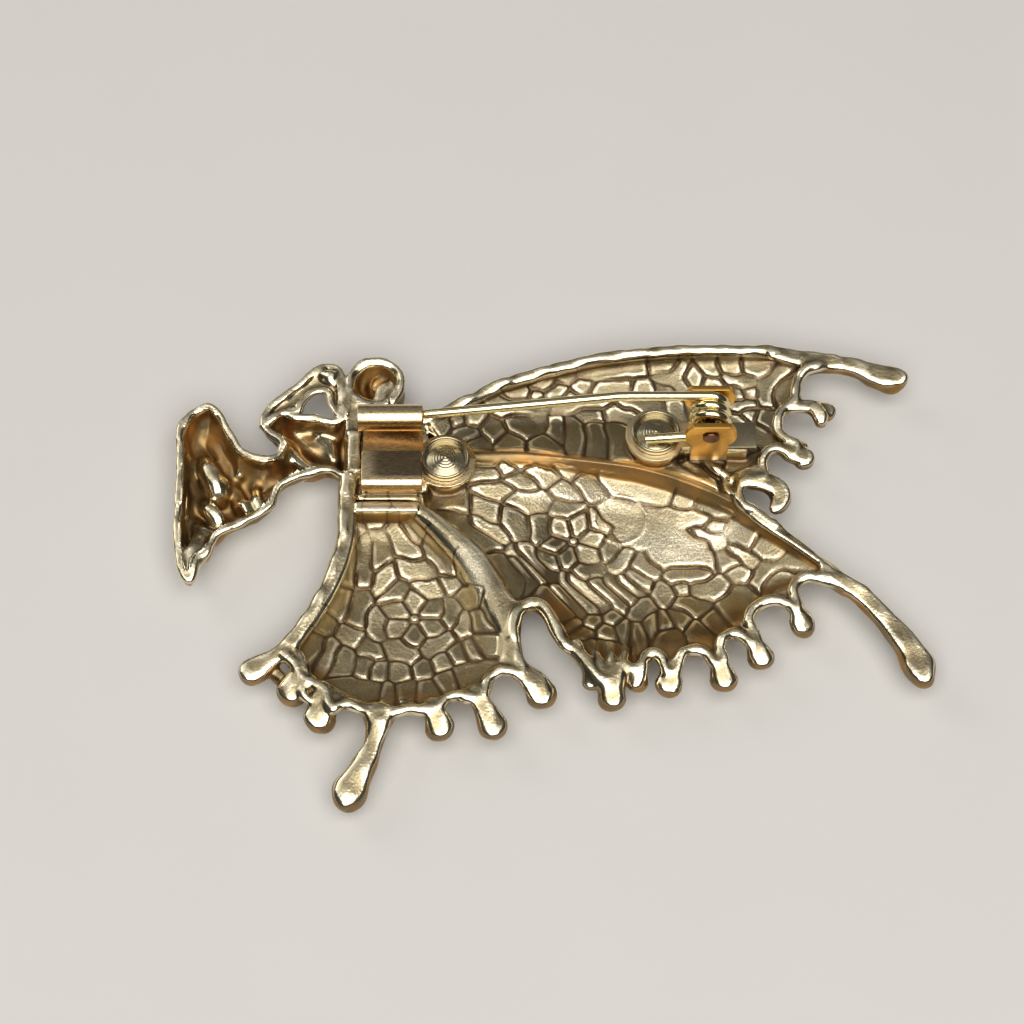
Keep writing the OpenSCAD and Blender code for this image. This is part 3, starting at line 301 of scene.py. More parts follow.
# Legs and folds inside the figure's hollow: points with a depth below the rims and a radius
FOLDS = [
    [(-30.7, 8.4, 2.8, 0.4), (-30.3, 7.4, 2.1, 0.75), (-29.7, 6.1, 1.8, 1), (-29.1, 5, 1.9, 1),
     (-28.8, 4.2, 2.7, 0.5)],
    [(-30.6, 3.9, 2.9, 0.3), (-29.9, 3, 2.1, 0.75), (-29.1, 2, 2, 0.8), (-28.6, 1.2, 2.4, 0.4)],
    [(-31, 1.9, 2.6, 0.3), (-30.6, 1, 1.9, 0.6), (-29.8, 0.3, 1.7, 0.6), (-29, 0, 1.6, 0.3)],
    [(-30.6, 10.4, 2.9, 0.3), (-29, 8.3, 2.5, 0.4), (-28, 5.6, 2.5, 0.4), (-27.4, 3.4, 2.4, 0.3)],
    [(-28, 9, 1.4, 0.4), (-27.2, 7.6, 1.3, 0.55), (-27.4, 6.6, 2, 0.4)],
    [(-27.3, 4.6, 2.6, 0.3), (-26.8, 3.4, 1.9, 0.5), (-26.2, 2.2, 1.5, 0.4)],
    [(-26, 5.4, 2.6, 0.3), (-25.8, 4.2, 1.9, 0.45), (-25.4, 2.9, 1.4, 0.4)],
    [(-24.5, 9.9, 1, 0.35), (-23, 8.3, 1.7, 0.5), (-21.3, 6.8, 1.7, 0.5), (-19.8, 6.2, 1.1, 0.4)],
    [(-22.4, 10.4, 2.4, 0.4), (-21.2, 9.3, 2.4, 0.7), (-19.9, 8.4, 2.5, 0.6)],
    [(-20.4, 10, 2, 0.4), (-19.6, 9.2, 2.2, 0.6), (-19.2, 8, 2.2, 0.5)],
    [(-30.5, -0.3, 1.3, 0.6), (-30.6, -1.6, 0.8, 0.85), (-30.9, -3, 0.6, 0.7), (-31, -4, 0.6, 0.45)],
]

# Borders between the casting's pieces
RIDGE_CUT = [(-11.2, 7.3), (-9, 8), (-3, 8), (3.7, 7.2), (10, 5.8), (15, 3.1)]
TIPS_CUT = [(15, 3.1), (16.8, 8), (40, 11.5)]
FRINGE_CUT = [(20, -0.6), (15, -3), (9, -5), (3, -6.5), (-3.8, -6.7)]
RIB_CUT = [(-3.8, -6.7), (-6.2, -3), (-8.2, -0.9), (-11.2, 2.4)]
GAP_CUT = [(-3.8, -6.7), (-2, -7.3), (-0.2, -10.5), (1.8, -30)]
# The casting's pieces: how much painted warm shade their deepest hollows get, and their region of the plan
PIECES = {
    "upper_wing": (0.0, RIDGE_CUT + TIPS_CUT[1:] + [(40, 30), (-11.2, 30)]),
    "middle_wing": (0.0, RIDGE_CUT + FRINGE_CUT + RIB_CUT[1:]),
    "wing_fringe": (0.0, TIPS_CUT + [(40, -30)] + GAP_CUT[::-1] + FRINGE_CUT[-2::-1]),
    "lower_wing": (0.0, [(-19.2, 3.2)] + RIB_CUT[::-1] + GAP_CUT[1:] + [(-40, -30), (-40, -10), (-22, -5)]),
    "winged_figure": (0.75, [(-11.2, 2.4), (-19.2, 3.2), (-22, -5), (-40, -10), (-40, 30), (-11.2, 30)]),
}

# Findings, in the plan: the rivets' places, and their heads' underside, height and radius
RIVETS = ((-9.32, 6.17), (8.84, 8.74))
RIVET_LOW, RIVET_HEAD_H, RIVET_HEAD_R = 5.18, 0.7, 2.1
# The hinge's middle and the straight part of the pin's stem, as the frame's record gives them
HINGE = np.array(frame["record"]["behaviour"]["joints"][0]["pos_m"]) / MM - PLAN
MOUNT = frame["record"]["mounts"][0]
STEM_MIDDLE = np.array(MOUNT["pos_m"]) / MM - PLAN
STEM_WAY = np.array(MOUNT["axis"])
STEM_LEN = MOUNT["dims"]["length_mm"]
# Lengths of the pin's ground point and of its level part before the hinge, turns of the coil, and steps in
# a turn
POINT_LEN, LEVEL_LEN = 5.44, 7.5
COIL_TURNS, COIL_STEPS = 2.5, 40

# Lights: name, place, width and height in metres, and brightness as the metal mirrors it
LIGHTS = (
    ("key_softbox", (0.03, -0.33, 0.72), 0.9, 0.86, 3.8),
    ("sky_card", (0.0, 0.62, 0.72), 1.5, 0.9, 0.12),
    ("left_card", (-0.58, 0.40, 0.52), 0.4, 0.5, 1.8),
)


def smooth_min(a, b, k):
    """The nearer of two distances, with a fillet of size k where they meet."""
    h = np.maximum(k - np.abs(a - b), 0.0) / k
    return np.minimum(a, b) - h * h * (k * 0.25)


def ease(t):
    """A soft step from 0 to 1."""
    t = np.clip(t, 0.0, 1.0)
    return t * t * (3 - 2 * t)


def curved(points, steps=4):
    """A smooth line through given points."""
    p = np.array(points, float)
    p = np.vstack([2 * p[0] - p[1], p, 2 * p[-1] - p[-2]])
    out = []
    for a, b, c, d in zip(p, p[1:], p[2:], p[3:]):
        for i in range(steps):
            t = i / steps
            out.append(b + 0.5 * t * (c - a + t * (2 * a - 5 * b + 4 * c - d
                                                   + t * (3 * (b - c) + d - a))))
    out.append(p[-2])
    return np.array(out)


class Block:
    """A block of space, in the plan's millimetres, whose cells hold the distance to the metal."""

    def __init__(self, axes, pitch):
        self.axes, self.pitch = axes, pitch
        self.d = np.full([len(a) for a in axes], FAR, np.float32)

    def window(self, low, high):
        """The cells between two corners, as slices."""
        cut = []
        for axis, a, b in zip(self.axes, low, high):
            i, j = np.searchsorted(axis, (a, b))
            cut.append(slice(max(i - 1, 0), min(j + 1, len(axis))))
        return tuple(cut)

    def columns(self, low, high):
        """The cells over a rectangle of the plan, through the whole height."""
        return self.window((*low, -FAR), (*high, 3 * FAR))

    def grids(self, cut):
        """The places of some cells, as three grids that spread over each other."""
        x, y, z = (axis[c] for axis, c in zip(self.axes, cut))
        return x[:, None, None], y[None, :, None], z[None, None, :]

    def flat(self, cut):
        """The places of some cells in the plan."""
        return np.meshgrid(self.axes[0][cut[0]], self.axes[1][cut[1]], indexing="ij")

    def add(self, cut, distance, blend):
        """Joins a form to the metal, with a fillet."""
        self.d[cut] = smooth_min(self.d[cut], distance, blend)

    def rods(self, chain, blend, flat=1.0, square=2.0):
        """A chain of cones: each point is x, y, z and radius; flat and square shape their section."""
        chain = np.array(chain, np.float32)
        reach = float(chain[:, 3].max()) + blend + 0.3
        whole = self.window(chain[:, :3].min(0) - reach, chain[:, :3].max(0) + reach)
        part = Block([axis[c] for axis, c in zip(self.axes, whole)], self.pitch)
        for a, b in zip(chain, chain[1:]):
            cut = part.window(np.minimum(a, b)[:3] - reach, np.maximum(a, b)[:3] + reach)
            x, y, z = part.grids(cut)
            run = b[:3] - a[:3]
            t = ((x - a[0]) * run[0] + (y - a[1]) * run[1] + (z - a[2]) * run[2]) / max(run @ run, 1e-9)
            t = np.clip(t, 0, 1)
            side = (x - a[0] - t * run[0]) ** 2 + (y - a[1] - t * run[1]) ** 2
            up = ((z - a[2] - t * run[2]) / flat) ** 2
            if square == 2:
                away = np.sqrt(side + up)
            else:
                away = (side ** (square / 2) + up ** (square / 2)) ** (1 / square)
            part.d[cut] = np.minimum(part.d[cut], away - (a[3] + t * (b[3] - a[3])))
        self.add(whole, part.d, blend)

    def sheet(self, cut, top, under, edge, blend):
        """A sheet between two surfaces, inside an outline's distance."""
        z = self.axes[2][None, None, :]
        steep = [1 / np.sqrt(1 + sum(g * g for g in np.gradient(s, self.pitch))) for s in (top, under)]
        d = np.maximum((z - top[:, :, None]) * steep[0][:, :, None],
                       (under[:, :, None] - z) * steep[1][:, :, None])
        self.add(cut, np.maximum(d, edge[:, :, None]).astype(np.float32), blend)

    def disc(self, centre, radius, low, high, blend):
        """An upright round post or seat."""
        margin = radius + 1
        cut = self.window((centre[0] - margin, centre[1] - margin, low - 1),
                          (centre[0] + margin, centre[1] + margin, high + 1))
        x, y, z = self.grids(cut)
        around = np.sqrt((x - centre[0]) ** 2 + (y - centre[1]) ** 2) - radius
        self.add(cut, np.maximum(around, np.maximum(low - z, z - high)), blend)

    def brick(self, low, high, round_r, blend):
        """A block with rounded edges."""
        cut = self.window(np.array(low) - 1, np.array(high) + 1)
        mid, half = (np.array(low) + high) / 2, (np.array(high) - low) / 2 - round_r
        over = [np.abs(g - m) - h for g, m, h in zip(self.grids(cut), mid, half)]
        out = np.sqrt(sum(np.maximum(o, 0) ** 2 for o in over))
        inner = np.minimum(np.maximum(np.maximum(over[0], over[1]), over[2]), 0)
        self.add(cut, out + inner - round_r, blend)

    def cut_ball(self, centre, radii, blend):
        """A hollow of ellipsoid shape."""
        r = np.array(radii, float)
        cut = self.window(np.array(centre) - r - blend, np.array(centre) + r + blend)
        q = np.sqrt(sum(((g - c) / s) ** 2 for g, c, s in zip(self.grids(cut), centre, r)))
        ball = (q - 1) * float(r.min())
        self.d[cut] = -smooth_min(-self.d[cut], ball, blend)

    def unevenness(self, depth, wave, seed, share):
        """The soft dents and swellings of cast and tumbled metal, by a share for every place."""
        waves, usual_sum = 7, 2.6
        rng = np.random.default_rng(seed)
        x, y, z = self.grids(tuple(slice(None) for _ in self.axes))
        total = 0
        for _ in range(waves):
            way = rng.normal(size=3)
            way = way / np.linalg.norm(way) * 2 * math.pi / (wave * rng.uniform(0.6, 1.5))
            kx, ky, kz = way.astype(np.float32)
            turn = np.float32(rng.uniform(0, 2 * math.pi))
            total = total + np.sin(kx * x + ky * y + kz * z + turn)
        self.d += total * (depth / usual_sum * share[:, :, None]).astype(np.float32)
        self.d = np.maximum(self.d, np.float32(LOWEST) - z)


def outline_distance(outline, x, y):
    """Distance to a closed outline over a flat grid, negative inside."""
    p = np.array(outline, np.float32)
    near = np.full(x.shape, 1e6, np.float32)
    inside = np.zeros(x.shape, bool)
    for a, b in zip(p, np.roll(p, -1, axis=0)):
        run = b - a
        t = np.clip(((x - a[0]) * run[0] + (y - a[1]) * run[1]) / max(run @ run, 1e-9), 0, 1)
        near = np.minimum(near, (x - a[0] - t * run[0]) ** 2 + (y - a[1] - t * run[1]) ** 2)
        if a[1] != b[1]:
            inside ^= ((a[1] > y) != (b[1] > y)) & (x < run[0] * (y - a[1]) / run[1] + a[0])
    return np.where(inside, -1, 1) * np.sqrt(near)


def soften(height, passes):
    """A surface averaged with its neighbours, some times over."""
    for _ in range(passes):
        p = np.pad(height, 1, mode="edge")
        height = (p[:-2, 1:-1] + p[2:, 1:-1] + p[1:-1, :-2] + p[1:-1, 2:] + 2 * height) / 6
    return height


def lumps(x, y, seed, wave):
    """Gentle unevenness left by the mould, mostly between -1 and 1."""
    waves, usual_sum = 14, 5
    rng = np.random.default_rng(seed)
    total = np.zeros_like(x)
    for _ in range(waves):
        ang, ph = rng.uniform(0, 2 * math.pi, 2)
        k = 2 * math.pi / (wave * rng.uniform(0.6, 1.7))
        total += np.sin(k * (x * math.cos(ang) + y * math.sin(ang)) + ph)
    return total / usual_sum


def cell_map(cells, x, y, seed):
    """For every place: distance to its cell's border, and a height and tilt of that cell's own."""
    best = np.full(x.shape, 1e6, np.float32)
    second = best.copy()
    owner = np.zeros(x.shape, int)
    middles = []
    for n, cell in enumerate(cells):
        strokes = cell if isinstance(cell, list) else [cell]
        near = np.full(x.shape, 1e6, np.float32)
        for s in strokes:
            ax, ay, bx, by = s if len(s) == 4 else s + s
            run = (bx - ax) ** 2 + (by - ay) ** 2
            t = np.clip(((x - ax) * (bx - ax) + (y - ay) * (by - ay)) / run, 0, 1) if run else 0.0
            near = np.minimum(near, np.hypot(x - ax - t * (bx - ax), y - ay - t * (by - ay)))
        middles.append(((strokes[0][0] + strokes[0][-2]) / 2, (strokes[0][1] + strokes[0][-1]) / 2))
        closer = near < best
        second = np.where(closer, best, np.minimum(second, near))
        owner = np.where(closer, n, owner)
        best = np.minimum(best, near)
    rng = np.random.default_rng(seed)
    rise = rng.uniform(-1, 1, len(cells))
    tilt = rng.uniform(-1, 1, (len(cells), 2))
    mid = np.array(middles)[owner]
    own = rise[owner] * 0.07 + ((x - mid[..., 0]) * tilt[owner][..., 0]
                                + (y - mid[..., 1]) * tilt[owner][..., 1]) * 0.16
    return (second - best) / 2, np.clip(own, -0.2, 0.2)


def along_wing(table, place, across, flip=False):
    """Place across a wing, and its share of the dish, from its table, over a flat grid."""
    t = np.array(table, float)
    if flip:
        t = t[::-1]
    hi, lo, share = (np.interp(place, t[:, 0], t[:, i]) for i in (1, 2, 3))
    u = (across - hi) / (lo - hi)
    return u, share * 0.01


def rosette(centre, turn, size):
    """Cells of a six-leaved rosette: a small middle and six leaves that reach out from it."""
    leaves = [centre + centre]
    for a in (math.radians(turn + 60 * i) for i in range(6)):
        out = (math.cos(a) * size, math.sin(a) * size * 0.9)
        leaves.append((centre[0] + out[0] * 0.42, centre[1] + out[1] * 0.42,
                       centre[0] + out[0], centre[1] + out[1]))
    return leaves


def relief(kit, cells, x, seen_y, seed):
    """Height of the raised cells, and how deep in a groove every place is."""
    border, own = cell_map(cells, x, seen_y, seed)
    plate = ease((border - 0.03) / kit.groove_w)
    pillow = 0.03 * np.exp(-(border / 0.3) ** 2)
    height = kit.relief_h * (plate - 0.5) + own * plate - pillow * plate
    return height, 1 - ease(border / 0.18)


def ridge_at(x):
    """The ridge's place in the plan, for each x."""
    return np.interp(x, *np.array(RIDGE).T)


def ridge_drop(x):
    """How far the ridge lies below the rims."""
    return np.interp(x, (10, 18), (0.5, 0.3))


def upper_floor(x, y):
    """Height of the upper wing's dish: steep below the rim, then rising to the ridge."""
    u, share = along_wing(UPPER_WING, (x - WING_ROOT[0]) * 100 / WING_LEN,
                          (y - WING_ROOT[1]) * 100 / UPPER_RISE)
    depth = UPPER_DEPTH * share
    low = np.minimum(ridge_drop(x), depth)
    fall = 0.52 * ease(u / 0.1) + 0.48 * np.clip(u / 0.5, 0, 1)
    return RIM - depth * fall + (depth - low) * np.clip((u - 0.56) / 0.44, 0, 1)


def middle_floor(x, y):
    """Height of the middle wing's dish: a steep fall from the ridge, then two gentle ones."""
    u, share = along_wing(MIDDLE_WING, (x - WING_ROOT[0]) * 100 / WING_LEN,
                          (y - WING_ROOT[1]) * 100 / MIDDLE_DROP)
    depth = MIDDLE_DEPTH * share
    low = np.minimum(ridge_drop(x), depth * 0.4)
    inward = ridge_at(x) - y
    deep = np.maximum(depth - low, 2.1)
    fall = ((depth - low) * 0.54 * ease(inward / 0.8)
            + deep * 0.33 * np.clip((inward - 0.6) / 3.1, 0, 1)
            + (depth - low) * 0.14 * np.clip((inward - 3.7) / 3.5, 0, 1))
    return RIM - np.minimum(low + fall, 2.95) * (1 - 0.8 * ease((u - 0.62) / 0.38))


def lower_floor(x, y):
    """Height of the lower wing's dish."""
    u, share = along_wing(LOWER_WING, (y - LOWER_ROOT[1]) * 100 / LOWER_SIZE,
                          (x - LOWER_ROOT[0]) * 100 / LOWER_SIZE, True)
    return RIM - LOWER_DEPTH * share * ease(u / 0.16) * ease((1 - u) / 0.25)


def spot(x, y, patch):
    """A soft round patch, by its middle, half widths and strength."""
    cx, cy, wide, high, strength = patch
    return strength * np.exp(-((x - cx) / wide) ** 2 - ((y - cy) / high) ** 2)


class CastingShape:
    """Builds the whole casting as one body of distances, and cuts it into its pieces."""

    def __init__(self, kit):
        self.kit = kit
        self.block = Block([np.arange(a, b + kit.pitch, kit.pitch, dtype=np.float32)
                            for a, b in zip(BLOCK_LOW, BLOCK_HIGH)], kit.pitch)
        # Over the plan: grooves, smooth bands, steep walls' share of painted warm shade, sandy plates,
        # patches of painted highlight and shade, and patches of painted warm shade
        self.groove, self.plain, self.wall, self.sandy, self.tone, self.warm = np.zeros(
            (6, *self.block.d.shape[:2]), np.float32)
        self.wear = None

    def lay_wing(self, outline, low, high, floor_of, cells, seed, warm=1.0, band=0.0, mark=None, fringe=0.0):
        """A dished wing with its relief.

        Warm is the share of painted warm shade on its walls, band the width of the smooth wall along the
        ridge, mark a faint ring (x, y, radius), and fringe the share of painted warm shade just inside the
        dripping edge.
        """
        kit, block = self.kit, self.block
        cut = block.columns(low, high)
        x, y = block.flat(cut)
        floor = soften(floor_of(x, y), 6)
        seen_y = y + LEAN * (floor - READ_AT)
        rise, groove = relief(kit, cells, x, seen_y, seed)
        edge = outline_distance(outline, x, y)
        fade = ease((-edge - 0.25) / 0.3)
        # Painted warm shade on the dish's steep walls
        wall = warm * ease((np.hypot(*np.gradient(floor, kit.pitch)) - 0.6) / 0.5)
        if band:
            under_ridge = ridge_at(x) + 0.35 - y - LEAN * (floor - READ_AT)
            fade = fade * (1 - ease((band - under_ridge) / 0.25))
        flat = ease((RIM - floor - 0.15) / 0.3)
        # Painted warm shade just inside the dripping edge
        if fringe:
            wall = np.maximum(wall, fringe * ease((edge + 3.6) / 2.4) * ease((-4.5 - y) / 3)
                              * ease((18 - x) / 3))
        if mark:
            ring = np.hypot(x - mark[0], seen_y - mark[1]) - mark[2]
            rise = rise + 0.09 * np.exp(-(ring / 0.12) ** 2)
            groove = np.maximum(groove, 0.7 * np.exp(-((ring + 0.16) / 0.1) ** 2))
        top = floor + (rise * flat + 0.018 * lumps(x, y, seed, 2.2)) * fade
        under = floor - kit.metal + soften(rise * flat, 3) * fade * 0.6
        block.sheet(cut, top, np.maximum(np.minimum(under, top - 0.6), 0.04), edge, 0.2)
        inside = edge < 0
        for field, values in ((self.groove, groove * fade * flat), (self.plain, ease((-edge - 0.35) / 0.25)),
                              (self.wall, wall), (self.sandy, fade * (1 - wall))):
            field[cut[:2]] = np.where(inside, values, field[cut[:2]])

    def lip(self, points, r, drop=0.25, blend=0.3, steps=4, fine=(0, 0)):
        """A rounded rim; its start and end may taper, each over a length in mm."""
        line = curved(points, steps)
        gone = np.concatenate([[0], np.cumsum(np.hypot(*np.diff(line, axis=0).T[:2]))])
        full = np.ones(len(line))
        for length, way in zip(fine, (gone, gone[-1] - gone)):
            if length:
                full = full * (0.45 + 0.55 * ease(way / length))
        self.block.rods([(p[0], p[1], RIM - drop - (r + 0.12) * (1 - k), r * k) for p, k in zip(line, full)],
                        blend)

    def drip(self, chain, sag=0.4):
        """A short drop of metal at the edge, whose end sinks a little."""
        line = curved(chain, 6)
        n = len(line) - 1
        line[:, 2] *= self.kit.drip_k
        self.block.rods([(x, y, RIM + 0.12 - 0.7 * r - sag * (i / n) ** 2, r)
                         for i, (x, y, r) in enumerate(line)], 0.35, 0.7, 3.6)

    def tail(self, chain, drop):
        """A long tail with a flattened section, which bends down towards the table."""
        line = curved(chain, 9)
        line[:, 2] *= self.kit.tail_k
        n = len(line) - 1
        self.block.rods([(x, y, RIM + 0.08 + 0.12 * (1 - ease(3 * i / n)) - 0.8 * r - drop * i / n, r)
                         for i, (x, y, r) in enumerate(line)], 0.5, 0.8, 3.5)

    def sunk_rods(self, chain, blend):
        """Rods whose points give x, y, the depth below the rims and the radius."""
        self.block.rods([(x, y, RIM - drop, r) for x, y, drop, r in curved(chain, 5)], blend)

    def wings(self):
        """The three dished wings, with their patches of painted highlight and shade and of painted warm
        shade.
        """
        upper = np.vstack([curved(UPPER_RIM), curved(UPPER_TIPS), curved(RIDGE)[::-1]])
        middle = np.vstack([curved(RIDGE), curved(MIDDLE_TIPS), curved(SEAM), [(-11, 5)]])
        lower = np.vstack([curved(LOWER_LEFT), curved(LOWER_TIPS), curved(SEAM), [(-11.5, 5.2)]])
        middle_cells = MIDDLE_CELLS + rosette((1.7, -1.1), 12, 2.15)
        lower_cells = LOWER_CELLS + rosette((-11.9, -8.5), 30, 2.25)
        self.lay_wing(upper, (-12.5, -2), (26, 19), upper_floor, UPPER_CELLS, 5, warm=0.3)
        self.lay_wing(middle, (-12, -16), (26, 8.8), middle_floor, middle_cells, 7, band=1.5,
                      mark=(5.8, 1, 2.25), fringe=0.8)
        self.lay_wing(lower, (-24, -19), (-1, 6.2), lower_floor, lower_cells, 11, warm=0.4)
        # The smooth strip along the ridge, painted with warm shade
        cut = self.block.columns((-9.5, -4), (23.4, 9))
        x, y = self.block.flat(cut)
        below_crest = ridge_at(x) - y
        strip = ease((1.0 - below_crest) / 0.25) * ease((below_crest + 0.75) / 0.25)
        for field in (self.wall, self.plain):
            field[cut[:2]] = np.maximum(field[cut[:2]], strip)
        self.sandy[cut[:2]] *= 1 - strip
        x, y = np.meshgrid(*self.block.axes[:2], indexing="ij")
        # Patches of painted highlight and painted shade
        for patch in LIGHT_AND_SHADE_PATCHES:
            self.tone += spot(x, y, patch)
        self.tone = np.clip(self.tone, -1, 1)
        # Patches of painted warm shade
        for patch in WARM_SHADE_PATCHES:
            self.warm = np.maximum(self.warm, spot(x, y, patch))

    def edges(self):
        """The wings' rims, the rib between two of them, the small lumps, the drips and the tails."""
        self.lip(UPPER_RIM, 0.62, 0.4, fine=(0, 6))
        self.lip(UPPER_TIPS[:-2], 0.5, fine=(2.5, 1.5))
        self.lip(RIDGE[9:] + [(24.6, -4.5)], 0.32, 0.2, 0.2, fine=(1.5, 2))
        self.lip(TAIL_STRIP, 0.42, 0.55)
        self.lip(MIDDLE_TIPS, 0.52, fine=(2.5, 0))
        self.lip(U_GAP, 0.58, 0.3)
        self.lip(LOWER_LEFT, 0.58)
        self.lip([(x + 0.6, y) for x, y in LOWER_LEFT], 0.5, 0.3)
        self.lip(LOWER_TIPS[:9] + [(-15.5, -16.8)], 0.5)
        self.lip([(-13.7, -16.8)] + LOWER_TIPS[12:], 0.5)
        for chain in KNOBS:
            self.sunk_rods(chain, 0.35)
        self.block.rods([(x, y - 0.2 * w, RIM - 0.1 - w * 0.7, w) for x, y, w in curved(RIB, 6)], 0.6, 0.75)
        for chain in UPPER_DRIPS + MIDDLE_DRIPS + LOWER_DRIPS:
            self.drip(chain)
        for chain, drop in ((UPPER_TAIL, 0.2), (MIDDLE_TAIL, 0.5), (LOWER_TAIL, 0.8)):
            self.tail(chain, drop)

    def hollow_body(self, outline, depth, width, seed):
        """A rounded shell inside an outline: hollow above, domed below."""
        wall = self.kit.figure_wall
        corners = np.array(outline)
        cut = self.block.columns(corners.min(0) - 1, corners.max(0) + 1)
        x, y = self.block.flat(cut)
        edge = outline_distance(curved(outline + outline[:1], 3)[:-1], x, y)
        inner = np.clip((-edge - wall * 0.6) / width, 0, 1)
        hollow = np.sqrt(np.clip(1 - (1 - inner) ** 2, 0, 1)) ** 0.8
        outer = np.clip((-edge + 0.1) / (width + wall), 0, 1)
        dome = np.sqrt(np.clip(1 - (1 - outer) ** 2, 0, 1))
        top = RIM - depth * hollow + 0.08 * lumps(x, y, seed, 2.4) * ease((-edge - wall) / 0.8)
        under = RIM - 0.5 - depth * dome
        self.block.sheet(cut, top, np.minimum(under, top - 0.5), edge, 0.25)

    def figure(self):
        """The figure: its hollow body and forearm with their rims, folds, hand and head."""
        block = self.block
        self.hollow_body(FIGURE_EDGE, 3.0, 2.6, 3)
        self.hollow_body(FOREARM, 0.4, 0.8, 4)
        # The rim leaves out the part of the edge behind the catch
        self.lip(FIGURE_EDGE[-1:] + FIGURE_EDGE[:24], 0.3, 0.2, 0.2)
        self.lip(FIGURE_EDGE[30:] + FIGURE_EDGE[:2], 0.3, 0.2, 0.2)
        self.lip(FOREARM + FOREARM[:1], 0.26, 0.2, 0.2)
        for fold in FOLDS:
            self.sunk_rods(fold, 0.8)
        # Hand
        block.rods([(-20.4, 15.7, RIM - 0.4, 0.5), (-19.6, 15.3, RIM - 0.3, 0.75),
                    (-19.1, 14.6, RIM - 0.5, 0.5)], 0.4)
        # The head's cup, its rim, the mound inside it and the neck
        hx, hy = HEAD
        block.disc(HEAD, HEAD_R + 0.1, 1.2, RIM - 0.1, 0.3)
        block.cut_ball((hx, hy, RIM), (HEAD_R - 0.55, HEAD_R - 0.5, 2.5), 0.15)
        block.rods([(hx + HEAD_R * math.cos(a), hy + HEAD_R * math.sin(a), RIM - 0.22, 0.34)
                    for a in np.radians(np.arange(-50, 236, 11))], 0.2)
        block.rods([(-15.2, 15.2, 2.2, 0.8), (-14.7, 14.4, 2.4, 1.1), (-14.9, 13.6, 2.5, 1),
                    (-15.6, 13, 2.6, 0.7)], 0.5, 0.6, 3)
        block.rods([(-18.1, 12.2, RIM - 0.5, 0.6), (-17.2, 12.7, RIM - 0.4, 0.75),
                    (-16.3, 12.4, RIM - 0.4, 0.6)], 0.4)

    def seats(self):
        """The chest behind the catch, the blocks under the findings, and the rivets' posts."""
        block = self.block
        seat = RIM + SEAT_RISE
        foot, bar_foot = 1.4, 1.7
        # Lowest and highest corner, rounding and fillet
        for low, high, round_r, blend in (
                ((-18.2, 3.3, foot), (-10.8, 11.4, 3.6), 0.5, 0.5),
                ((-16.6, 3.5, foot), (-10.9, 9, seat), 0.15, 0.2),
                ((-17.85, 5.6, bar_foot), (-16.75, 9.6, RIM + 0.3), 0.12, 0.15),
                ((-18.2, 9, bar_foot), (-16.8, 12.6, RIM + 0.15), 0.3, 0.3),
                ((-17.1, 1.7, bar_foot), (-11.6, 2.7, RIM + 0.25), 0.2, 0.2),
                ((-16.9, 2.9, bar_foot), (-11.7, 3.5, RIM + 0.1), 0.15, 0.15)):
            block.brick(low, high, round_r, blend)
        for rivet, post_r in zip(RIVETS, (2.1, 2.4)):
            block.disc(rivet, post_r, foot, seat, 0.3)
        x, y = RIVETS[1]
        block.brick((x, y - 1.3, foot), (x + 8, y + 1.3, seat), 0.2, 0.3)

    def finish(self):
        """The dents of the cast metal, and where its surface bulges or is hollow."""
        smooth = np.maximum(self.plain, self.sandy)
        self.block.unevenness(depth=0.06, wave=1.9, seed=21, share=1 - 0.85 * smooth)
        self.wear = curvature(self.block, 3)

    def piece(self, name, region, deep_shade=0.0, reach=0.24):
        """Meshes the part of the casting that lies in one region of the plan."""
        region = np.array(region, float)
        cut = self.block.columns(region.min(0) - 1, region.max(0) + 1)
        x, y = self.block.flat(cut)
        past = outline_distance(region, x, y)[:, :, None]
        # Past its border a piece dips under its neighbour
        d = np.maximum(self.block.d[cut] + 0.15 * np.maximum(past, 0), past - reach).astype(np.float32)
        grid = openvdb.FloatGrid(FAR)
        grid.copyFromArray(np.clip(d, -FAR, FAR))
        points, tris, quads = grid.convertToPolygons(0.0, self.kit.adapt)
        origin = np.array([axis[c][0] for axis, c in zip(self.block.axes, cut)])
        places = (origin + points * self.kit.pitch + PLAN) * MM
        ob = closed_mesh(name, places, tris, quads)
        self.paint(ob.data, deep_shade)
        return ob

    def sample(self, field, places):
        """Values of a field of the block at places in the plan."""
        q = (places - [a[0] for a in self.block.axes]) / self.kit.pitch
        q = q[:, :field.ndim]
        i = np.clip(np.floor(q).astype(int), 0, np.array(field.shape) - 2)
        f = np.clip(q - i, 0, 1)
        total = 0
        for corner in np.ndindex(*([2] * field.ndim)):
            w = np.prod([f[:, a] if c else 1 - f[:, a] for a, c in enumerate(corner)], axis=0)
            total = total + w * field[tuple(i[:, a] + c for a, c in enumerate(corner))]
        return total

    def paint(self, mesh, deep_shade):
        """Keeps on each point how worn, grooved and sandy the metal is there, and its painted warm shade,
        painted highlight and painted shade.
        """
        at = vertex_values(mesh, "co") / MM - PLAN
        up = vertex_values(mesh, "normal")[:, 2]
        below = RIM - at[:, 2]
        plain = self.sample(self.plain, at) * (up > 0.1) * ease((below - 0.1) / 0.2)
        # Painted warm shade and reflection: on steep walls, on the plan's wall shares, in the deepest hollows
        # and in the listed patches
        steep = ease((0.84 - up) / 0.4) * (0.35 + 0.65 * ease(below / 0.9)) * (1 - plain)
        steep = steep + self.sample(self.wall, at) * plain
        sunk = deep_shade * ease((below - 0.9) / 1.4)
        pooled = self.sample(self.warm, at) * ease((below - 0.1) / 0.5)
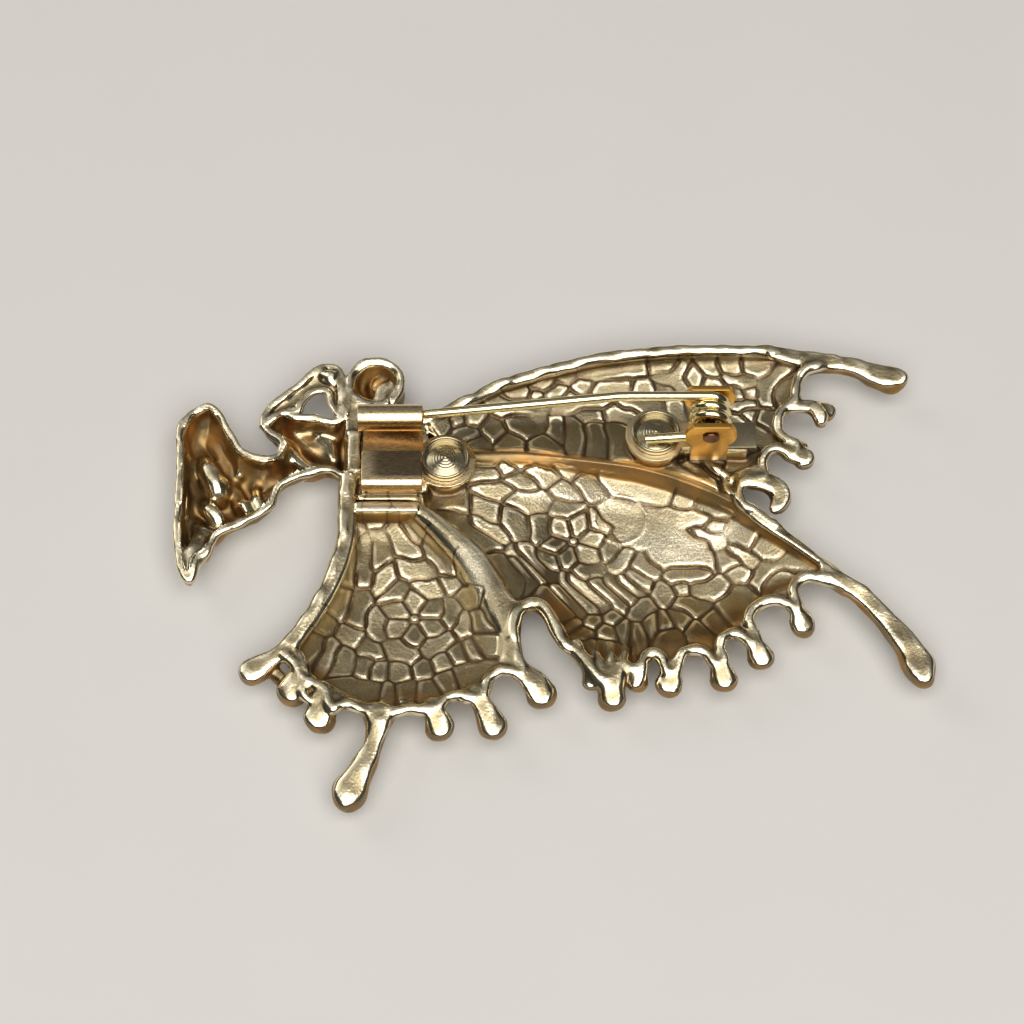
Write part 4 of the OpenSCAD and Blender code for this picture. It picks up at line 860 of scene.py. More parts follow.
        # Painted highlight above zero and painted shade below
        tone = self.sample(self.tone, at)
        highlight = np.clip(tone, 0, 1)
        amber = np.maximum(np.maximum(steep, sunk), pooled) * ease((up + 0.5) / 0.4) * (1 - 0.85 * highlight)
        sandy = self.sample(self.sandy, at) * (up > 0.1) * ease((below - 0.2) / 0.2)
        sandy = np.maximum(sandy, 0.75 * ease((up - 0.86) / 0.1) * (below < 1.2))
        sandy = np.maximum(sandy, highlight * ease((up - 0.3) / 0.3) * (below > -0.2))
        values = (self.sample(self.groove, at), self.sample(self.wear, at), amber, sandy, tone)
        for label, value in zip(PAINTED, values):
            mesh.attributes.new(label, "FLOAT", "POINT").data.foreach_set("value", value.astype(np.float32))


def vertex_values(mesh, name):
    """A vector of every vertex, such as its place or its normal."""
    values = np.empty(len(mesh.vertices) * 3, np.float32)
    mesh.vertices.foreach_get(name, values)
    return values.reshape(-1, 3)


def closed_mesh(name, places, tris, quads):
    """An object with a smooth closed mesh, from its points and its faces of three and four corners."""
    mesh = bpy.data.meshes.new(name)
    mesh.vertices.add(len(places))
    mesh.vertices.foreach_set("co", places.astype(np.float32).ravel())
    corners = np.concatenate([tris.ravel(), quads.ravel()]).astype(np.int32)
    starts = np.concatenate([np.arange(len(tris)) * 3, len(tris) * 3 + np.arange(len(quads)) * 4])
    mesh.loops.add(len(corners))
    mesh.loops.foreach_set("vertex_index", corners)
    mesh.polygons.add(len(starts))
    mesh.polygons.foreach_set("loop_start", starts.astype(np.int32))
    mesh.update(calc_edges=True)
    mesh.validate()
    bm = bmesh.new()
    bm.from_mesh(mesh)
    if bm.calc_volume(signed=True) < 0:
        bmesh.ops.reverse_faces(bm, faces=bm.faces[:])
    bm.to_mesh(mesh)
    bm.free()
    mesh.polygons.foreach_set("use_smooth", np.ones(len(mesh.polygons), bool))
    return linked(name, mesh)


def curvature(block, spread):
    """How much the surface bulges (above zero) or is hollow (below), at a few cells' spread."""
    d = np.clip(block.d, -1.0, 1.0)
    for axis in range(3):
        d = (np.roll(d, 1, axis) + 2 * d + np.roll(d, -1, axis)) / 4
    out = np.zeros_like(d)
    s = spread
    core = d[s:-s, s:-s, s:-s]
    around = (d[2 * s:, s:-s, s:-s] + d[:-2 * s, s:-s, s:-s] + d[s:-s, 2 * s:, s:-s]
              + d[s:-s, :-2 * s, s:-s] + d[s:-s, s:-s, 2 * s:] + d[s:-s, s:-s, :-2 * s])
    out[s:-s, s:-s, s:-s] = (around - 6 * core) / (s * block.pitch)
    return out


# Materials


def new_material(name):
    """A material with its node tree and one Principled shader."""
    mat = bpy.data.materials.new(name)
    mat.use_nodes = True
    tree = mat.node_tree
    tree.nodes.clear()
    out = tree.nodes.new("ShaderNodeOutputMaterial")
    bsdf = tree.nodes.new("ShaderNodeBsdfPrincipled")
    tree.links.new(bsdf.outputs[0], out.inputs[0])
    return mat, tree, bsdf


def add_node(tree, kind, **values):
    """A node with its input values and its settings, by name."""
    made = tree.nodes.new(kind)
    for key, value in values.items():
        if key in made.inputs:
            made.inputs[key].default_value = value
        else:
            setattr(made, key, value)
    return made


def mix_colour(tree, factor, a, b):
    """A colour between two, each given as a value or as a node's output."""
    mix = add_node(tree, "ShaderNodeMix", data_type="RGBA")
    for socket, value in ((mix.inputs[0], factor), (mix.inputs[6], a), (mix.inputs[7], b)):
        if isinstance(value, bpy.types.NodeSocket):
            tree.links.new(value, socket)
        else:
            socket.default_value = value
    return mix.outputs[2]


def ramp(tree, source, low, high, out_low=0.0, out_high=1.0):
    """A value carried from one range to another, held at both ends."""
    node = add_node(tree, "ShaderNodeMapRange", clamp=True, interpolation_type="SMOOTHSTEP")
    for i, value in enumerate((low, high, out_low, out_high)):
        node.inputs[i + 1].default_value = value
    tree.links.new(source, node.inputs[0])
    return node.outputs[0]


def grain(tree, scale, detail=3.0, stretch=None):
    """Noise on the object's own coordinates, drawn out along its axes if asked."""
    place = add_node(tree, "ShaderNodeTexCoord")
    source = place.outputs["Object"]
    if stretch:
        turn = add_node(tree, "ShaderNodeMapping")
        turn.inputs["Scale"].default_value = stretch
        tree.links.new(source, turn.inputs[0])
        source = turn.outputs[0]
    noise = add_node(tree, "ShaderNodeTexNoise", Scale=scale, Detail=detail)
    tree.links.new(source, noise.inputs["Vector"])
    return noise.outputs["Fac"]


def bump(tree, bsdf, height, strength, distance):
    """Fine roughness of the surface, with a fixed or a varying strength."""
    node = add_node(tree, "ShaderNodeBump", Distance=distance)
    if isinstance(strength, bpy.types.NodeSocket):
        tree.links.new(strength, node.inputs["Strength"])
    else:
        node.inputs["Strength"].default_value = strength
    tree.links.new(height, node.inputs["Height"])
    tree.links.new(node.outputs[0], bsdf.inputs["Normal"])


def rgba(colour, k=1.0):
    """A colour made brighter or darker, with full cover."""
    return (colour[0] * k, colour[1] * k, colour[2] * k, 1.0)


def attribute(tree, name):
    """A number that the mesh keeps on its points."""
    return add_node(tree, "ShaderNodeAttribute", attribute_name=name).outputs["Fac"]


def maths(tree, operation, a, b):
    """Two node values, added or multiplied."""
    node = add_node(tree, "ShaderNodeMath", operation=operation)
    tree.links.new(a, node.inputs[0])
    tree.links.new(b, node.inputs[1])
    return node.outputs[0]


def cast_gold(kit):
    """Cast gold tone: bright rubbed edges, dull sandy plates and dark grooves, with painted highlights and
    shade on the plates and painted warm shade on walls and in hollows.
    """
    mat, tree, bsdf = new_material("cast_gold")
    bsdf.inputs["Metallic"].default_value = 1.0
    groove, wear, amber, sandy, tone = (attribute(tree, name) for name in PAINTED)
    # Duller gold, for the sand's grit and for painted shade
    grit_and_shade_plate = rgba(kit.plate_colour, 0.4)
    grit = maths(tree, "MULTIPLY", ramp(tree, grain(tree, 9000, 2.0), 0.6, 0.4, 0.0, 0.6), sandy)
    # Painted warm shade, mottled with darker spots
    mottled_shade = mix_colour(tree, ramp(tree, grain(tree, 380, 4.0), 0.4, 0.62), rgba(kit.warm_shade_dark_colour),
                         rgba(kit.warm_shade_colour))
    colour = mix_colour(tree, ramp(tree, grain(tree, 700, 5.0), 0.3, 0.7), rgba(kit.plate_colour, 0.8),
                        rgba(kit.plate_colour))
    # Tones laid over the plates' clouded gold, each with its share; the first is painted shade, the second
    # painted highlight, the last but one painted warm shade
    layers = (
        (ramp(tree, tone, 0.0, -1.0), grit_and_shade_plate),
        (ramp(tree, tone, 0.0, 1.0), rgba(kit.highlight_colour)),
        (grit, grit_and_shade_plate),
        (ramp(tree, wear, 0.12, 0.6), rgba(kit.edge_colour)),
        (ramp(tree, wear, -0.1, -0.7, 0.0, 0.8), rgba(kit.groove_colour, 2.4)),
        (ramp(tree, amber, 0.1, 0.9, 0.0, 0.92), mottled_shade),
        (ramp(tree, groove, 0.35, 1.0, 0.0, 0.85), rgba(kit.groove_colour)),
    )
    for share, layer in layers:
        colour = mix_colour(tree, share, colour, layer)
    tree.links.new(colour, bsdf.inputs["Base Color"])
    rough = maths(tree, "ADD", ramp(tree, wear, -0.1, 0.35, 0.26, 0.17),
                  ramp(tree, sandy, 0.0, 1.0, 0.0, 0.22))
    rough = maths(tree, "ADD", rough, ramp(tree, amber, 0.3, 0.9, 0.0, 0.26))
    tree.links.new(rough, bsdf.inputs["Roughness"])
    bump(tree, bsdf, grain(tree, 4200, 3.0), ramp(tree, sandy, 0, 1, 0.05, 0.7), 0.00007)
    return mat


def plated(name, colour, roughness, scratch, vary=1.0):
    """Bright plate over turned or rolled metal, with faint marks along its length."""
    mat, tree, bsdf = new_material(name)
    bsdf.inputs["Metallic"].default_value = 1.0
    marks = grain(tree, 2600, 2.0, scratch)
    cloud = grain(tree, 500, 3.0)
    tree.links.new(mix_colour(tree, ramp(tree, cloud, 0.3, 0.7), rgba(colour, 0.9), rgba(colour)),
                   bsdf.inputs["Base Color"])
    tree.links.new(ramp(tree, marks, 0.25, 0.75, roughness * (1 - 0.25 * vary), roughness * (1 + 0.4 * vary)),
                   bsdf.inputs["Roughness"])
    bump(tree, bsdf, marks, 0.15 * vary, 0.00002)
    return mat


def zones(tree, bands):
    """Where the object's own coordinates lie inside all the bands: axis, from, to, in mm."""
    place = tree.nodes.new("ShaderNodeTexCoord")
    parts = tree.nodes.new("ShaderNodeSeparateXYZ")
    tree.links.new(place.outputs["Object"], parts.inputs[0])
    shares = [ramp(tree, parts.outputs[axis], low * MM, high * MM) for axis, low, high in bands]
    total = shares[0]
    for share in shares[1:]:
        total = maths(tree, "MULTIPLY", total, share)
    return total


def paint_light_in_zones(mat, layers):
    """Lays painted shade and painted reflection over a plated metal, each with its share inside its own zone.
    """
    tree = mat.node_tree
    bsdf = next(n for n in tree.nodes if n.type == "BSDF_PRINCIPLED")
    colour = bsdf.inputs["Base Color"].links[0].from_socket
    for tone, share, bands in layers:
        colour = mix_colour(tree, ramp(tree, zones(tree, bands), 0, 1, 0, share), colour, rgba(tone))
    tree.links.new(colour, bsdf.inputs["Base Color"])


def table_top(kit):
    """The pale table's matt top."""
    mat, tree, bsdf = new_material("pale_table")
    cloud = grain(tree, 60, 2.0)
    tree.links.new(mix_colour(tree, cloud, rgba(kit.floor_colour, 0.97), rgba(kit.floor_colour)),
                   bsdf.inputs["Base Color"])
    bsdf.inputs["Roughness"].default_value = 0.7
    bsdf.inputs["Specular IOR Level"].default_value = 0.3
    return mat


def wear_finish(ob, mat, body, slot_name, *nodes):
    """Gives a piece its material, the body it rides on and the CAD nodes it stands for; its slot name is not
    used.
    """
    ob.data.materials.clear()
    ob.data.materials.append(mat)
    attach(ob, body)
    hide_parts(*nodes)


def linked(name, data):
    """A new object in the scene."""
    ob = bpy.data.objects.new(name, data)
    bpy.context.scene.collection.objects.link(ob)
    return ob


def softened_copy(node, name, width):
    """A CAD node's form with its edges eased, as sheet metal has after stamping and plating."""
    bm = bmesh.new()
    bm.from_mesh(frame["nodes"][node].data)
    bmesh.ops.remove_doubles(bm, verts=bm.verts[:], dist=2e-6)
    bmesh.ops.dissolve_limit(bm, angle_limit=math.radians(1.0), verts=bm.verts[:], edges=bm.edges[:])
    mesh = bpy.data.meshes.new(name)
    bm.to_mesh(mesh)
    bm.free()
    ob = linked(name, mesh)
    bevel = ob.modifiers.new("eased edges", "BEVEL")
    bevel.width, bevel.segments, bevel.limit_method = width * MM, 3, "ANGLE"
    bevel.angle_limit = math.radians(35)
    bevel.harden_normals = False
    bake(ob)
    ob.data.polygons.foreach_set("use_smooth", np.ones(len(ob.data.polygons), bool))
    ob.data.set_sharp_from_angle(angle=math.radians(30))
    return ob


def bake(ob):
    """The object's evaluated result as its own plain mesh."""
    graph = bpy.context.evaluated_depsgraph_get()
    made = bpy.data.meshes.new_from_object(ob.evaluated_get(graph))
    made.name = ob.name
    ob.modifiers.clear()
    if ob.type == "MESH":
        ob.data = made
        return ob
    name = ob.name
    bpy.data.objects.remove(ob)
    return linked(name, made)


# Geometry Nodes


def new_tree(name, inputs):
    """A node group with a geometry in and out and named number inputs."""
    tree = bpy.data.node_groups.new(name, "GeometryNodeTree")
    tree.interface.new_socket("Geometry", in_out="INPUT", socket_type="NodeSocketGeometry")
    for label, kind, value in inputs:
        item = tree.interface.new_socket(label, in_out="INPUT", socket_type=kind)
        if value is not None:
            item.default_value = value
    tree.interface.new_socket("Geometry", in_out="OUTPUT", socket_type="NodeSocketGeometry")
    return tree, tree.nodes.new("NodeGroupInput"), tree.nodes.new("NodeGroupOutput")


def set_inputs(mod, **values):
    """Sets a modifier's inputs by their labels, through the sockets' identifiers."""
    for item in mod.node_group.interface.items_tree:
        if item.item_type == "SOCKET" and item.in_out == "INPUT" and item.name in values:
            mod[item.identifier] = values[item.name]


def swept_wire_tree():
    """A round wire swept along a curve, thinned by the curve's own radius, with filled ends."""
    tree, inp, out = new_tree("swept_wire", [
        ("Wire Radius", "NodeSocketFloat", 0.00042), ("Sides", "NodeSocketInt", 24),
        ("Finish", "NodeSocketMaterial", None)])
    link = tree.links.new
    ring = add_node(tree, "GeometryNodeCurvePrimitiveCircle")
    link(inp.outputs["Wire Radius"], ring.inputs["Radius"])
    link(inp.outputs["Sides"], ring.inputs["Resolution"])
    sweep = add_node(tree, "GeometryNodeCurveToMesh")
    sweep.inputs["Fill Caps"].default_value = True
    link(inp.outputs["Geometry"], sweep.inputs["Curve"])
    link(ring.outputs["Curve"], sweep.inputs["Profile Curve"])
    if "Scale" in sweep.inputs:
        link(tree.nodes.new("GeometryNodeInputRadius").outputs[0], sweep.inputs["Scale"])
    smooth = add_node(tree, "GeometryNodeSetShadeSmooth")
    real = add_node(tree, "GeometryNodeRealizeInstances")
    finish = add_node(tree, "GeometryNodeSetMaterial")
    link(sweep.outputs[0], smooth.inputs[0])
    link(smooth.outputs[0], real.inputs[0])
    link(real.outputs[0], finish.inputs[0])
    link(inp.outputs["Finish"], finish.inputs["Material"])
    link(finish.outputs[0], out.inputs[0])
    return tree


def set_on_points_tree():
    """One form set at every point of a mesh, made real."""
    tree, inp, out = new_tree("set_on_points", [
        ("Form", "NodeSocketObject", None), ("Finish", "NodeSocketMaterial", None)])
    link = tree.links.new
    form = add_node(tree, "GeometryNodeObjectInfo")
    link(inp.outputs["Form"], form.inputs["Object"])
    place = add_node(tree, "GeometryNodeInstanceOnPoints")
    link(inp.outputs["Geometry"], place.inputs["Points"])
    link(form.outputs["Geometry"], place.inputs["Instance"])
    real = add_node(tree, "GeometryNodeRealizeInstances")
    finish = add_node(tree, "GeometryNodeSetMaterial")
    link(place.outputs[0], real.inputs[0])
    link(real.outputs[0], finish.inputs[0])
    link(inp.outputs["Finish"], finish.inputs["Material"])
    link(finish.outputs[0], out.inputs[0])
    return tree


def spun(name, profile, steps):
    """A closed form turned about its upright axis from a profile of radius and height, in mm."""
    bm = bmesh.new()
    rings = []
    for r, z in profile:
        if r < 1e-6:
            rings.append([bm.verts.new((0, 0, z * MM))])
        else:
            rings.append([bm.verts.new((r * MM * math.cos(a), r * MM * math.sin(a), z * MM))
                          for a in (2 * math.pi * i / steps for i in range(steps))])
    for a, b in zip(rings, rings[1:]):
        for i in range(steps):
            j = (i + 1) % steps
            corners = [a[i % len(a)], a[j % len(a)], b[j % len(b)], b[i % len(b)]]
            corners = list(dict.fromkeys(corners))
            if len(corners) > 2:
                bm.faces.new(corners)
    bmesh.ops.recalc_face_normals(bm, faces=bm.faces[:])
    for f in bm.faces:
        f.smooth = True
    mesh = bpy.data.meshes.new(name)
    bm.to_mesh(mesh)
    bm.free()
    return linked(name, mesh)


def pin_path(wire_r, coil_r, coil_pitch):
    """The pin's line in the plan, from its point to its tail's end, and each point's share of the wire."""
    ax, stem_y, az = HINGE
    top = az + coil_r
    bend = np.array([ax - LEVEL_LEN, stem_y, top])
    start = STEM_MIDDLE - STEM_WAY * STEM_LEN / 2
    stem = [start + STEM_WAY * (STEM_LEN + POINT_LEN * k) for k in (1.0, 0.85, 0.5, 0.0)]
    point_radii = [0.15, 0.36, 0.72, 1.0]
    run = [start + STEM_WAY * s for s in (STEM_LEN * 0.66, STEM_LEN * 0.33, 0.9, 0.3)]
    level = [bend + [-0.35, 0, -0.05], bend + [0.2, 0, -0.01], bend + [1.5, 0, 0], [ax - 3, stem_y, top],
             [ax - 1, stem_y, top]]
    coil = []
    for i in range(int(COIL_STEPS * COIL_TURNS) + 1):
        a = math.radians(90 - 360 * i / COIL_STEPS)
        coil.append([ax + coil_r * math.cos(a), stem_y - coil_pitch * i / COIL_STEPS,
                     az + coil_r * math.sin(a)])
    # The tail lies on the second rivet's head
    x, y = RIVETS[1]
    end = np.array([x - 0.9, y - 1.1, RIVET_LOW + RIVET_HEAD_H + wire_r + 0.06])
    last = np.array(coil[-1])
    tail = [last + (end - last) * k for k in (0.12, 0.5, 1.0)]
    path = np.array(stem + run + level + coil + tail)
    return path, point_radii + [1.0] * (len(path) - len(point_radii))


# Settings


class BROOCH_PG_casting(bpy.types.PropertyGroup):
    pitch: FloatProperty(name="Pitch", description="Distance between samples of the casting's surface, in mm",
                         default=0.12, min=0.08, max=0.3)
    adapt: FloatProperty(name="Merging", description="How freely flat stretches share larger faces",
                         default=0.0, min=0.0, max=1.0)
    metal: FloatProperty(name="Metal", description="Thickness of the cast wings, in mm", default=1.14,
                         min=0.8, max=1.4)
    drip_k: FloatProperty(name="Drips", description="Fullness of the drips along the edges", default=1.1,
                          min=0.8, max=1.4)
    tail_k: FloatProperty(name="Tails", description="Fullness of the three tails", default=1.1,
                          min=0.8, max=1.4)
    figure_wall: FloatProperty(name="Figure Wall", description="Wall of the figure's hollow body, in mm",
                               default=0.7, min=0.5, max=1.0)
    relief_h: FloatProperty(name="Relief", description="Height of the wings' raised cells, in mm",
                            default=0.23, min=0.1, max=0.6)
    groove_w: FloatProperty(name="Groove", description="Width of a cell's sloped edge, in mm",
                            default=0.18, min=0.1, max=0.5)


class BROOCH_PG_finish(bpy.types.PropertyGroup):
    plate_colour: FloatVectorProperty(name="Plates", description="Gold of the wings' dull plates",
                                      subtype="COLOR", size=3, default=(0.58, 0.49, 0.30), min=0, max=1)
    # Pale gold painted on the plates as highlight
    highlight_colour: FloatVectorProperty(name="Pale Patches",
                                     description="Gold of the plates where they are worn pale",
                                     subtype="COLOR", size=3, default=(0.95, 0.87, 0.66), min=0, max=1)
    edge_colour: FloatVectorProperty(name="Edges", description="Pale gold of the rubbed edges",
                                     subtype="COLOR", size=3, default=(0.94, 0.85, 0.62), min=0, max=1)
    groove_colour: FloatVectorProperty(name="Grooves", description="Dark gold in the grooves",
                                       subtype="COLOR", size=3, default=(0.09, 0.06, 0.035), min=0, max=1)
    # Painted warm shade and reflection on walls and in hollows, and its darker spots
    warm_shade_colour: FloatVectorProperty(name="Hollows", description="Deep warm gold of walls and hollows",
                                      subtype="COLOR", size=3, default=(0.36, 0.185, 0.045), min=0, max=1)
    warm_shade_dark_colour: FloatVectorProperty(name="Mottling", description="Darker spots in the warm hollows",
                                      subtype="COLOR", size=3, default=(0.2, 0.125, 0.045), min=0, max=1)
    finding_colour: FloatVectorProperty(name="Findings", description="Gold of the catch and the hinge",
                                        subtype="COLOR", size=3, default=(0.86, 0.69, 0.42), min=0, max=1)
    # Painted dark reflection on the catch's flap
    flap_shade_colour: FloatVectorProperty(name="Flap", description="Shaded gold of the catch's flap",
                                     subtype="COLOR", size=3, default=(0.2, 0.145, 0.085), min=0, max=1)
    # Painted warm reflection on the hinge's ears
    ear_reflection_colour: FloatVectorProperty(name="Ears", description="Warm gold of the hinge's ears",
                                    subtype="COLOR", size=3, default=(0.66, 0.38, 0.09), min=0, max=1)
    # Painted shade on the end of the hinge's plate
    strip_shade_colour: FloatVectorProperty(name="Strip", description="Dull gold of the end of the hinge's plate",
                                      subtype="COLOR", size=3, default=(0.3, 0.27, 0.18), min=0, max=1)
    copper_colour: FloatVectorProperty(name="Hinge Rivet",
                                       description="Dark copper of the rivet through the ears",
                                       subtype="COLOR", size=3, default=(0.2, 0.1, 0.06), min=0, max=1)
    rivet_colour: FloatVectorProperty(name="Rivet Heads", description="Darker gold of the turned rivet heads",
                                      subtype="COLOR", size=3, default=(0.48, 0.42, 0.28), min=0, max=1)
    wire_colour: FloatVectorProperty(name="Wire", description="Gold of the pin's wire",
                                     subtype="COLOR", size=3, default=(0.87, 0.76, 0.45), min=0, max=1)


class BROOCH_PG_pin(bpy.types.PropertyGroup):
    wire_r: FloatProperty(name="Wire", description="Radius of the pin's wire, in mm", default=0.42,
                          min=0.3, max=0.6)
    coil_r: FloatProperty(name="Coil", description="Radius of the coil, at the wire's middle, in mm",
                          default=1.4, min=1.0, max=2.0)
    coil_pitch: FloatProperty(name="Coil Pitch", description="Distance from turn to turn of the coil, in mm",
                              default=0.88, min=0.84, max=1.2)


class BROOCH_PG_stage(bpy.types.PropertyGroup):
    floor_colour: FloatVectorProperty(name="Floor", description="Colour of the pale table",
                                      subtype="COLOR", size=3, default=(0.62, 0.61, 0.59), min=0, max=1)
    room_colour: FloatVectorProperty(name="Room", description="Colour of the dim room around",
                                     subtype="COLOR", size=3, default=(0.95, 0.93, 0.9), min=0, max=1)
    lamp_colour: FloatVectorProperty(name="Lights", description="Colour of the soft lights",
                                     subtype="COLOR", size=3, default=(1.0, 0.97, 0.93), min=0, max=1)
    aim: FloatVectorProperty(name="Aim", description="Point that the camera looks at", subtype="TRANSLATION",
                             unit="LENGTH", size=3, default=(-0.00304, 0.005355, 0.003))
    elevation: FloatProperty(name="Elevation", description="Camera's height above the table, as an angle",
                             subtype="ANGLE", default=math.radians(62))
    distance: FloatProperty(name="Distance", description="From the camera to its aim", unit="LENGTH",
                            default=0.23)
    lens: FloatProperty(name="Lens", description="Focal length on a 36 mm sensor, in mm", default=93.8)


# Operators


class BROOCH_OT_casting(bpy.types.Operator):
    """Build the casting: three wings with their fringe, and the hollow figure"""
    bl_idname = "brooch.casting"
    bl_label = "Casting"

    def execute(self, context):
        shape = CastingShape(context.scene.brooch_casting)
        shape.wings()
        shape.edges()
        shape.figure()
        shape.seats()
        shape.finish()
        gold = cast_gold(context.scene.brooch_finish)
        for name, (deep_shade, region) in PIECES.items():
            piece = shape.piece(name, region, deep_shade)
            if not piece.data.polygons:
                raise RuntimeError(f"{name} has no faces")
            wear_finish(piece, gold, "brooch", "cast_gold", "casting")
        return {"FINISHED"}


class BROOCH_OT_rivet_heads(bpy.types.Operator):
    """Turn the two dished rivet heads"""
    bl_idname = "brooch.rivet_heads"
    bl_label = "Rivet Heads"

    def execute(self, context):
        top = RIVET_LOW + RIVET_HEAD_H
        # The flange, from its underside to the dish's edge: how far inside the head's radius, and height
        flange = ((0.12, RIVET_LOW), (0, RIVET_LOW + 0.12), (0, top - 0.16), (0.05, top - 0.06),
                  (0.13, top - 0.02), (0.22, top - 0.05), (0.28, top - 0.2), (0.31, top - 0.42))
        profile = [(0, RIVET_LOW)] + [(RIVET_HEAD_R - inset, z) for inset, z in flange]
        cone_r, rings, steps = RIVET_HEAD_R - 0.34, 7, 56
        for i in range(steps + 1):
            r = cone_r * (1 - i / steps)
            # Fine turned rings, strongest in the middle
            cut = 0.011 * math.cos(2 * math.pi * rings * i / steps) * ease((1.25 - r) / 0.5)
            profile.append((r, top - 0.5 + 0.48 * (1 - r / cone_r) + float(cut)))
        head = spun("rivet_head_form", profile, 64)
        points = bpy.data.meshes.new("rivet_heads")
        points.from_pydata([((x + PLAN[0]) * MM, (y + PLAN[1]) * MM, 0) for x, y in RIVETS], [], [])
        ob = linked("rivet_heads", points)
        mat = plated("turned_gold", context.scene.brooch_finish.rivet_colour, 0.2, (1, 1, 6))
        mod = ob.modifiers.new("heads", "NODES")
        mod.node_group = set_on_points_tree()
        set_inputs(mod, Form=head, Finish=mat)
        ob = bake(ob)
        bpy.data.objects.remove(head)
        if not ob.data.polygons:
            raise RuntimeError("the rivet heads have no faces")
        wear_finish(ob, mat, "brooch", "cast_gold", "casting")
        return {"FINISHED"}


class BROOCH_OT_catch(bpy.types.Operator):
    """Dress the rolled catch"""
    bl_idname = "brooch.catch"
    bl_label = "Catch"

    def execute(self, context):
        kit = context.scene.brooch_finish
        mat = plated("catch_gold", kit.finding_colour, 0.27, (1, 9, 9))
        # Painted warm shade on the strip under the roll, painted dark reflection on the flap, fading towards
        # its lighter left edge, and painted warm shade on the roll's front and the fold's front
        paint_light_in_zones(mat, (
            (kit.warm_shade_colour, 0.8, (("Z", 5.9, 5.6), ("Y", 9.2, 9.6))),
            (kit.flap_shade_colour, 0.9, (("Z", 5.9, 6.15), ("Y", 11.4, 11.2), ("Y", 7, 7.3), ("X", -16, -14))),
            (kit.warm_shade_colour, 0.85, (("Y", 12.15, 11.8), ("Y", 11.2, 11.3), ("Z", 6.2, 6.4))),
            (kit.warm_shade_colour, 0.9, (("Y", 6.75, 6.6), ("Z", 5.95, 5.75))),
        ))
        ob = softened_copy("catch", "rolled_catch", 0.06)
        wear_finish(ob, mat, "brooch", "finding_gold", "catch")
        return {"FINISHED"}


class BROOCH_OT_hinge(bpy.types.Operator):
    """Dress the hinge and its rivet"""
    bl_idname = "brooch.hinge"
    bl_label = "Hinge"

    def execute(self, context):
        kit = context.scene.brooch_finish
        mat = plated("hinge_gold", kit.finding_colour, 0.32, (1, 1, 1), 0.3)
        # Painted warm reflection on the ears above the plate, and painted shade on the plate's end
        paint_light_in_zones(mat, (
            (kit.ear_reflection_colour, 1.0, (("Z", 5.25, 5.5),)),
            (kit.strip_shade_colour, 0.85, (("Z", 5.5, 5.25), ("X", 15.3, 15.8))),
        ))
        ob = softened_copy("hinge_bracket", "hinge_ears", 0.08)
        wear_finish(ob, mat, "brooch", "finding_gold", "hinge_bracket")
        copper = plated("rivet_copper", kit.copper_colour, 0.3, (9, 1, 9))
        rivet = softened_copy("hinge_rivet", "hinge_rivet_domed", 0.12)
        wear_finish(rivet, copper, "brooch", "rivet_metal", "hinge_rivet")
        return {"FINISHED"}


class BROOCH_OT_pin(bpy.types.Operator):
    """Wind the coiled pin"""
    bl_idname = "brooch.pin"
    bl_label = "Pin"

    def execute(self, context):
        kit = context.scene.brooch_pin
        path, radii = pin_path(kit.wire_r, kit.coil_r, kit.coil_pitch)
        line = bpy.data.curves.new("pin_path", "CURVE")
        line.dimensions = "3D"
        spline = line.splines.new("POLY")
        spline.points.add(len(path) - 1)
        for p, place, r in zip(spline.points, path, radii):
            p.co = (*((place + PLAN) * MM), 1)
            p.radius = r
        ob = linked("coiled_pin", line)
        mat = plated("wire_gold", context.scene.brooch_finish.wire_colour, 0.14, (1, 8, 8))
        mod = ob.modifiers.new("wire", "NODES")
        mod.node_group = swept_wire_tree()
        set_inputs(mod, **{"Wire Radius": kit.wire_r * MM, "Sides": 24, "Finish": mat})
        ob = bake(ob)
        if not ob.data.polygons:
            raise RuntimeError("the pin's wire has no faces")
        wear_finish(ob, mat, "pin", "wire_gold", "pin_wire")
        return {"FINISHED"}


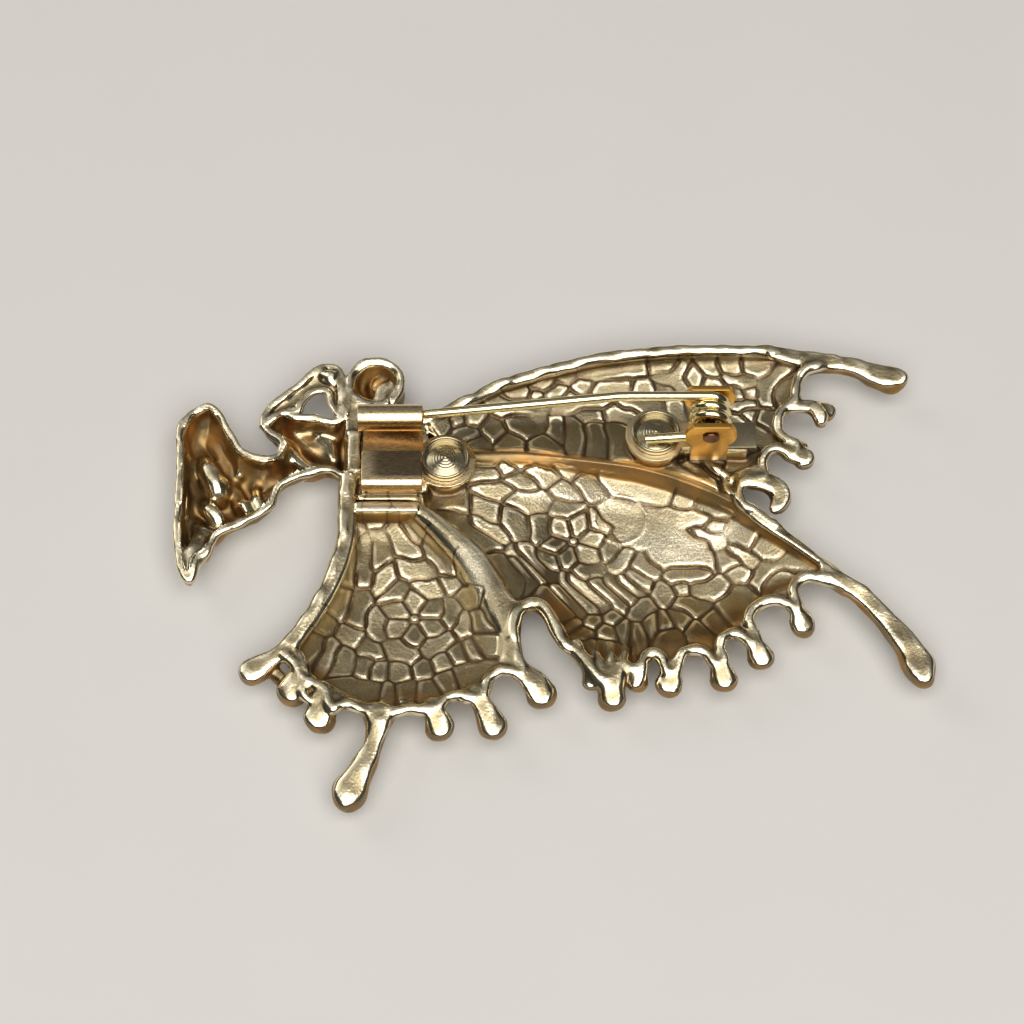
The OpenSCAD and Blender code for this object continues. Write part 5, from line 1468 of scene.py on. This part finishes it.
class BROOCH_OT_stage(bpy.types.Operator):
    """Set the pale table, the soft lights and the camera"""
    bl_idname = "brooch.stage"
    bl_label = "Stage"

    def execute(self, context):
        kit = context.scene.brooch_stage
        side = 1.5
        mesh = bpy.data.meshes.new("table")
        mesh.from_pydata([(-side, -side, 0), (side, -side, 0), (side, side, 0), (-side, side, 0)], [],
                         [(0, 1, 2, 3)])
        mesh.materials.append(table_top(kit))
        table = linked("table", mesh)
        world = bpy.data.worlds.new("studio")
        world.use_nodes = True
        back = world.node_tree.nodes["Background"]
        back.inputs["Color"].default_value = rgba(kit.room_colour)
        back.inputs["Strength"].default_value = 0.05
        context.scene.world = world
        context.scene.view_settings.view_transform = "Standard"
        aim = Vector(kit.aim)
        for name, place, width, height, glow in LIGHTS:
            lamp = bpy.data.lights.new(name, "AREA")
            lamp.shape, lamp.size, lamp.size_y = "RECTANGLE", width, height
            lamp.energy = glow * math.pi * width * height
            lamp.color = kit.lamp_colour
            ob = linked(name, lamp)
            ob.location = place
            ob.rotation_euler = (aim - Vector(place)).to_track_quat("-Z", "Y").to_euler()
        cam = bpy.data.cameras.new("camera")
        cam.sensor_width, cam.lens, cam.clip_start = 36, kit.lens, 0.01
        eye = aim + Vector((0, -math.cos(kit.elevation), math.sin(kit.elevation))) * kit.distance
        camera = linked("camera", cam)
        camera.location = eye
        camera.rotation_euler = (aim - eye).to_track_quat("-Z", "Y").to_euler()
        context.scene.camera = camera
        return {"FINISHED"}


STEPS = (BROOCH_OT_stage, BROOCH_OT_casting, BROOCH_OT_rivet_heads, BROOCH_OT_catch, BROOCH_OT_hinge,
         BROOCH_OT_pin)


class BROOCH_PT_panel(bpy.types.Panel):
    """The brooch's pieces, in the order they are made"""
    bl_idname = "BROOCH_PT_panel"
    bl_label = "Brooch"
    bl_space_type = "VIEW_3D"
    bl_region_type = "UI"
    bl_category = "Brooch"

    def draw(self, context):
        for key in GROUPS:
            group = getattr(context.scene, key)
            box = self.layout.box()
            for name in group.__annotations__:
                box.prop(group, name)
        for step in STEPS:
            self.layout.operator(step.bl_idname)


GROUPS = {
    "brooch_casting": BROOCH_PG_casting,
    "brooch_finish": BROOCH_PG_finish,
    "brooch_pin": BROOCH_PG_pin,
    "brooch_stage": BROOCH_PG_stage,
}


def register():
    for cls in (*GROUPS.values(), *STEPS, BROOCH_PT_panel):
        bpy.utils.register_class(cls)
    for name, group in GROUPS.items():
        setattr(bpy.types.Scene, name, PointerProperty(type=group))


def unregister():
    for name in GROUPS:
        delattr(bpy.types.Scene, name)
    for cls in (BROOCH_PT_panel, *reversed(STEPS), *reversed(GROUPS.values())):
        bpy.utils.unregister_class(cls)


def main():
    register()
    for step in STEPS:
        group, name = step.bl_idname.split(".")
        getattr(getattr(bpy.ops, group), name)()


if __name__ == "__main__":
    main()
